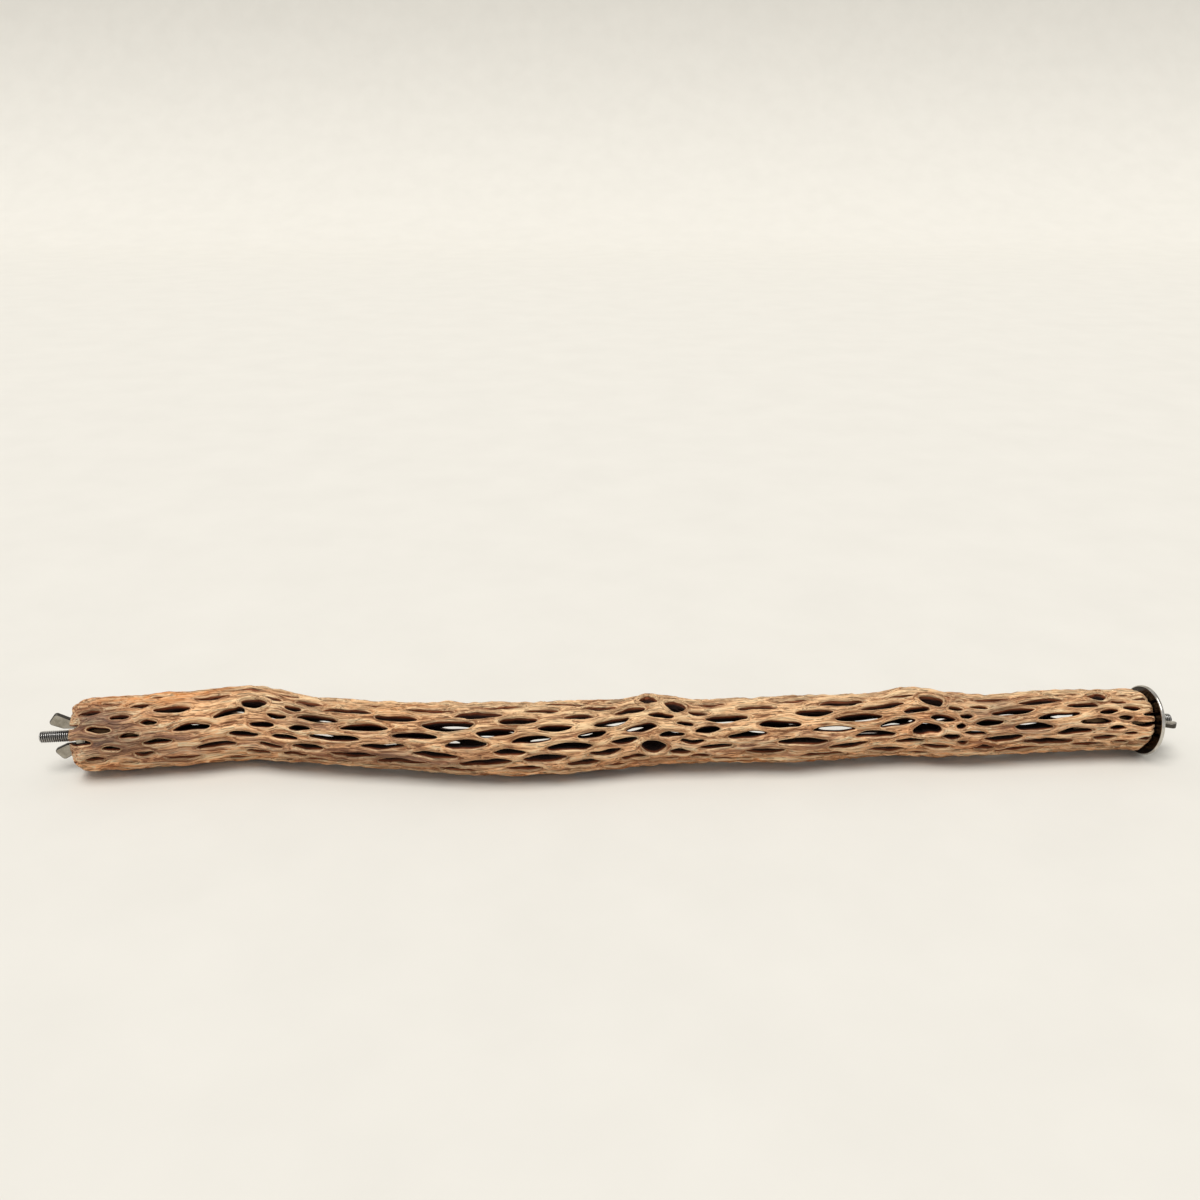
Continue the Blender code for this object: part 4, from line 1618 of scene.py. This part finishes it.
@dataclass(frozen=True)
class ChollaFinish:
    """Dry bare cholla wood, with its colours as they show on a screen."""

    # The fibres, from dark to light, and the cracks between them
    crack: Tone = (104, 58, 30)
    dark: Tone = (146, 89, 51)
    middle: Tone = (255, 190, 134)
    light: Tone = (255, 229, 184)
    # What the weather has made of them. Pale is also painted light from above on the top, and the
    # orange band along the underside is painted light from the floor
    grey: Tone = (94, 75, 67)
    ash: Tone = (178, 142, 120)
    orange: Tone = (226, 138, 58)
    pale: Tone = (255, 216, 165)
    # A hole's rim, partly paler wood and partly a painted highlight; the painted shade round it and in
    # its grooves, whose colour also draws the knots' rings; its wall, partly its own red-brown and
    # partly painted shade; and the core, painted shade
    rim: Tone = (255, 222, 175)
    shade_and_knot_ring: Tone = (140, 84, 48)
    inside: Tone = (138, 70, 36)
    core: Tone = (30, 13, 7)

    def make(self, fibres: bpy.types.NodeTree) -> bpy.types.Material:
        """Make the material, whose fibres follow the grain that is stored in the mesh.

        Args:
            fibres: the node group of wood fibres.

        Returns:
            The material.
        """
        made, nodes, surface = new_material("cholla wood")
        grain = nodes.attribute("grain").outputs["Vector"]
        sway = nodes.span(nodes.noise(grain, (24.0, 7.0, 7.0), detail=1.0), 0.3, 0.7, -1.6, 1.6)
        sway = nodes.add("CombineXYZ", {"Y": sway, "Z": sway}).outputs[0]
        grain = nodes.add("VectorMath", {0: grain, 1: sway}, operation="ADD").outputs[0]
        fibre = nodes.add("Group", {"Place": grain}, node_tree=fibres).outputs
        blot = nodes.noise(grain, (22.0, 7.0, 7.0))
        colour = self._tones_and_painted_light(nodes, grain, fibre, blot)
        colour = self._knotted(nodes, colour, fibre["Streak"], blot)
        colour = self._pierced(nodes, colour, fibre, blot)
        bump = nodes.add("Bump", {"Height": fibre["Height"], "Strength": 1.0, "Distance": 0.002})
        nodes.feed(surface, {
            "Base Color": colour, "Roughness": nodes.span(fibre["Streak"], 0.3, 0.7, 0.82, 0.62),
            "Normal": bump.outputs[0], "Specular IOR Level": 0.3,
        })
        return made

    def _tones_and_painted_light(self, nodes: Nodes, grain: Socket, fibre: bpy.types.NodeOutputs,
                   blot: Socket) -> Socket:
        """Colour the fibres, and tint them: pale, grey, dark, ashen and orange, and then cracked.

        The pale patches are partly paler wood and partly painted light from above, and the orange band
        along the underside is painted light from the floor.

        Args:
            nodes: the material's nodes.
            grain: the place along and across the fibres.
            fibre: the outputs of the fibre group.
            blot: wide soft blots.

        Returns:
            The colour.
        """
        grey, orange, pale = nodes.three("tone")
        mixed = nodes.total((fibre["Band"], 0.4), (fibre["Streak"], 0.4), (fibre["Line"], 0.2))
        colour = nodes.ramp(mixed, (0.43, linear(*self.dark)), (0.505, linear(*self.middle)),
                            (0.585, linear(*self.light)))
        # Painted light: the pale ovals lighten the top, partly as paler wood and partly as light from above
        pale_top_light_share = nodes.times(pale, nodes.span(mixed, 0.42, 0.52, 0.15, 0.85))
        colour = nodes.tint(colour, pale_top_light_share, self.pale)
        grey_share = nodes.times(grey, nodes.span(mixed, 0.42, 0.60, 1.0, 0.6))
        colour = nodes.tint(colour, grey_share, self.grey)
        # Under the pale ovals, where light from above is painted, dark blots and ash fade
        outside_pale_light = nodes.span(pale, 0.1, 0.8, 1.0, 0.3)
        dark_share = nodes.times(nodes.span(blot, 0.5, 0.7, 0.0, 0.3), outside_pale_light)
        colour = nodes.tint(colour, dark_share, self.dark)
        bleached = nodes.noise(grain, (40.0, 6.0, 6.0), detail=4.0)
        ash_share = nodes.times(nodes.span(bleached, 0.51, 0.66, 0.0, 0.42), outside_pale_light)
        colour = nodes.tint(colour, ash_share, self.ash)
        # Orange ovals; along the underside the orange is painted light bounced from the floor
        orange_share = nodes.times(orange, nodes.span(fibre["Streak"], 0.35, 0.6, 0.95, 0.5))
        colour = nodes.tint(colour, orange_share, self.orange)
        return nodes.tint(colour, nodes.times(fibre["Crack"], 0.75), self.crack)

    def _knotted(self, nodes: Nodes, colour: Socket, streak: Socket, blot: Socket) -> Socket:
        """Draw uneven dark rings round the knots' holes.

        Args:
            nodes: the material's nodes.
            colour: the colour so far.
            streak: the fibre group's streaks.
            blot: wide soft blots, which break the rings up.

        Returns:
            The colour.
        """
        near = nodes.attribute("knot").outputs["Fac"]
        near = nodes.plus(near, nodes.span(streak, 0.3, 0.7, -0.06, 0.06))
        rings = nodes.ramp(near, (0.0, BLACK), (0.44, BLACK), (0.52, WHITE), (0.60, BLACK),
                           (0.68, GREY), (0.74, BLACK))
        rings = nodes.times(rings, nodes.span(blot, 0.4, 0.6, 0.25, 0.8))
        return nodes.tint(colour, rings, self.shade_and_knot_ring)

    def _pierced(self, nodes: Nodes, colour: Socket, fibre: bpy.types.NodeOutputs,
                 blot: Socket) -> Socket:
        """Paint light and shade round the holes: painted shade in their grooves and round them, a pale
        rim that is partly paler wood and partly a painted highlight, a wall that is partly its own
        red-brown and partly painted shade, and the core's painted shade, near black.

        Args:
            nodes: the material's nodes.
            colour: the colour so far.
            fibre: the outputs of the fibre group.
            blot: wide soft blots.

        Returns:
            The colour.
        """
        apart, depth, dip = nodes.three("carving")
        # Painted shade in the groove that runs on past each hole's point
        groove = nodes.span(dip, 0.4, 0.95, 0.0, 0.55)
        # Painted shade round each hole, where its strand falls away
        shade = nodes.times(nodes.span(apart, 0.5, 2.0, 0.42, 0.0),
                            nodes.span(fibre["Band"], 0.44, 0.60, 1.0, 0.1))
        # A pale rim on each hole's lip: partly paler wood and partly a painted highlight where light
        # catches the edge
        rim = nodes.times(nodes.span(apart, 0.2, 0.6, 1.0, 0.0), nodes.span(depth, 0.11, 0.17, 1.0, 0.0))
        rim = nodes.times(rim, nodes.span(fibre["Line"], 0.35, 0.6, 0.35, 0.85))
        rim = nodes.times(rim, nodes.span(blot, 0.4, 0.6, 0.45, 1.0))
        # Down the wall: a red-brown that is partly the inner wood's own colour and partly painted shade,
        # then near black painted shade towards the core
        wall = nodes.span(depth, 0.12, 0.20, 0.0, 0.95)
        dark = nodes.span(depth, 0.24, 0.48, 0.0, 0.96)
        for share, tone in ((groove, self.shade_and_knot_ring), (shade, self.shade_and_knot_ring), (rim, self.rim),
                            (wall, self.inside), (dark, self.core)):
            colour = nodes.tint(colour, share, tone)
        return colour


@dataclass(frozen=True)
class PlugFinish:
    """Plain sanded hardwood, with its darkest and lightest colour."""

    dark: Tone = (150, 105, 62)
    light: Tone = (206, 164, 116)

    def make(self, fibres: bpy.types.NodeTree) -> bpy.types.Material:
        """Make the material, with its fibres along the plug.

        Args:
            fibres: the node group of wood fibres.

        Returns:
            The material.
        """
        made, nodes, surface = new_material("plug wood")
        fibre = nodes.add("Group", {"Place": nodes.object_place()}, node_tree=fibres).outputs
        colour = nodes.ramp(fibre["Streak"], (0.3, linear(*self.dark)), (0.7, linear(*self.light)))
        bump = nodes.add("Bump", {"Height": fibre["Height"], "Strength": 0.4, "Distance": 0.0002})
        nodes.feed(surface, {"Base Color": colour, "Normal": bump.outputs[0], "Roughness": 0.65})
        return made


@dataclass(frozen=True)
class SteelFinish:
    """A plated steel: its name, darkest and lightest colour, range of roughness, and painted shade."""

    name: str
    dark: Tone
    light: Tone
    smooth: float
    rough: float
    # Painted shade: between the turns of a thread, on the washer's inner face, where it is also a
    # painted dark reflection of the wood, and round a wing's edge
    painted_shade: Tone

    def make(self, plating: bpy.types.NodeTree) -> bpy.types.Material:
        """Make the material: cloudy colour, painted shade, and a roughness that the scratches break up.

        Args:
            plating: the node group of steel plating.

        Returns:
            The material.
        """
        made, nodes, surface = new_material(self.name)
        wear = nodes.add("Group", {"Place": nodes.object_place()}, node_tree=plating).outputs
        tone = nodes.total((wear["Cloud"], 0.7), (wear["Speckle"], 0.3))
        colour = nodes.ramp(tone, (0.35, linear(*self.dark)), (0.65, linear(*self.light)))
        # Painted shade, darker in the thread's roots, on the washer's face towards the wood and round the
        # wings' edges
        painted_shade_share = nodes.span(nodes.attribute("painted_shade").outputs["Fac"], 0.1, 0.8, 0.0, 0.95)
        bump = nodes.add("Bump", {"Height": wear["Speckle"], "Strength": 0.25, "Distance": 0.00005})
        nodes.feed(surface, {
            "Base Color": nodes.tint(colour, painted_shade_share, self.painted_shade), "Metallic": 1.0,
            "Roughness": nodes.span(wear["Scratch"], 0.35, 0.65, self.smooth, self.rough),
            "Normal": bump.outputs[0],
        })
        return made


# Each steel's last colour is its painted shade
STUD_STEEL = SteelFinish(
    "stud steel", dark=(178, 177, 175), light=(230, 229, 227), smooth=0.16, rough=0.28, painted_shade=(78, 76, 73))
WASHER_STEEL = SteelFinish(
    "washer steel", dark=(172, 167, 158), light=(220, 216, 208), smooth=0.14, rough=0.26, painted_shade=(34, 24, 17))
WING_NUT_STEEL = SteelFinish(
    "wing nut steel", dark=(134, 128, 116), light=(178, 172, 160), smooth=0.24, rough=0.4,
    painted_shade=(74, 70, 64))


# The stage


@dataclass(frozen=True)
class Stage:
    """A pale sheet that curves up behind, soft light, and the photograph's view."""

    half_width: float = 3000.0
    front: float = -1500.0
    back: float = 2200.0
    curve: float = 900.0
    wall: float = 2600.0
    # Rows of points on the sheet's flat part, on its curve and on its wall, and its columns
    rows: tuple[int, int, int] = (24, 24, 7)
    columns: int = 9
    dark: Tone = (212, 209, 201)
    light: Tone = (215, 212, 204)
    # The sky's light, and the lamp's colour, turn, spread in degrees and strength
    sky: Tone = (252, 251, 251)
    sky_strength: float = 0.58
    lamp: Tone = (251, 250, 248)
    lamp_turn: Triple = (14.0, -8.0, 0.0)
    lamp_spread: float = 42.0
    lamp_strength: float = 2.6
    camera_place: Triple = (-6.36, -412.64, 238.11)
    camera_tilt: float = 68.0
    lens: float = 34.5
    sensor: float = 36.0

    def set_up(self) -> None:
        """Stand the camera, lay the sheet and hang the lights."""
        self._camera()
        self._sheet()
        self._lights()

    def _sheet(self) -> None:
        """Lay the sheet: flat, then a quarter circle, then straight up."""
        on_flat, on_curve, on_wall = self.rows
        flat = np.linspace(self.front, self.back, on_flat)
        turn = np.linspace(0, math.pi / 2, on_curve + 1)[1:]
        rise = np.linspace(self.curve, self.wall, on_wall + 1)[1:]
        end = self.back + self.curve
        y = np.concatenate((flat, self.back + self.curve * np.sin(turn), np.full(on_wall, end)))
        z = np.concatenate((np.zeros(on_flat), self.curve * (1 - np.cos(turn)), rise))
        x = np.linspace(-self.half_width, self.half_width, self.columns)
        points = np.stack(np.broadcast_arrays(x, y[:, None], z[:, None]), axis=-1).reshape(-1, 3)
        row, column = np.meshgrid(np.arange(len(y) - 1), np.arange(len(x) - 1), indexing="ij")
        corner = (row * len(x) + column).reshape(-1)
        faces = np.stack((corner, corner + 1, corner + len(x) + 1, corner + len(x)), axis=-1)
        mesh = bpy.data.meshes.new("pale_sheet")
        mesh.from_pydata(points * MM, [], faces.tolist())
        mesh.shade_smooth()
        made, nodes, surface = new_material("pale sheet")
        mottle = nodes.noise(nodes.add("TexCoord").outputs["Object"], (0.05, 0.05, 0.05))
        colour = nodes.ramp(mottle, (0.3, linear(*self.dark)), (0.7, linear(*self.light)))
        nodes.feed(surface, {"Base Color": colour, "Roughness": 0.9, "Specular IOR Level": 0.1})
        mesh.materials.append(made)
        floor = bpy.data.objects.new("pale_sheet", mesh)
        bpy.context.scene.collection.objects.link(floor)

    def _lights(self) -> None:
        """Light from a wide soft sky, with more of it from one wide lamp above and behind."""
        world = bpy.data.worlds.new("studio")
        bpy.context.scene.world = world
        world.use_nodes = True
        background = world.node_tree.nodes["Background"]
        background.inputs["Color"].default_value = linear(*self.sky)
        background.inputs["Strength"].default_value = self.sky_strength
        light = bpy.data.lights.new("overhead", "SUN")
        light.angle = math.radians(self.lamp_spread)
        light.energy = self.lamp_strength
        light.color = linear(*self.lamp)[:3]
        lamp = bpy.data.objects.new("overhead", light)
        lamp.rotation_euler = [math.radians(turn) for turn in self.lamp_turn]
        bpy.context.scene.collection.objects.link(lamp)

    def _camera(self) -> None:
        """Stand the camera where the photograph was taken from."""
        lens = bpy.data.cameras.new("photograph")
        lens.lens = self.lens
        lens.sensor_width = self.sensor
        lens.clip_start = 0.01
        lens.clip_end = 50.0
        viewer = bpy.data.objects.new("photograph", lens)
        viewer.location = Vector(self.camera_place) * MM
        viewer.rotation_euler = (math.radians(self.camera_tilt), 0.0, 0.0)
        bpy.context.scene.collection.objects.link(viewer)
        bpy.context.scene.camera = viewer
        bpy.context.scene.view_settings.view_transform = "Standard"


def main() -> None:
    """Build the perch and its stage."""
    logging.basicConfig(level=logging.INFO, format="%(message)s")
    Stage().set_up()
    fibres, plating = fibre_group(), plating_group()
    wood = ChollaWood()
    wood.make(ChollaFinish().make(fibres))
    plug, stud = PlugFinish().make(fibres), STUD_STEEL.make(plating)
    washer, nut = WASHER_STEEL.make(plating), WING_NUT_STEEL.make(plating)
    fittings = (
        EndFittings(End.LEFT, wood.branch, StudSizes(reach=14.6),
                    WasherSizes(seat=-5.4, radius=7.5, thickness=1.2, edge_rounding=0.3),
                    NutSizes(roll=-2.0, wing=TALL_WING)),
        EndFittings(End.RIGHT, wood.branch, StudSizes(reach=13.1),
                    WasherSizes(seat=0.3, radius=14.3, thickness=1.5, edge_rounding=0.55),
                    NutSizes(roll=-100.5, wing=SHORT_WING)),
    )
    for fitting in fittings:
        fitting.dress_plug(plug)
        fitting.make_stud(stud)
        fitting.make_washer(washer)
        fitting.make_nut(nut)
        log.info("%s end: plug, stud, washer and wing nut", fitting.side)


if __name__ == "__main__":
    main()
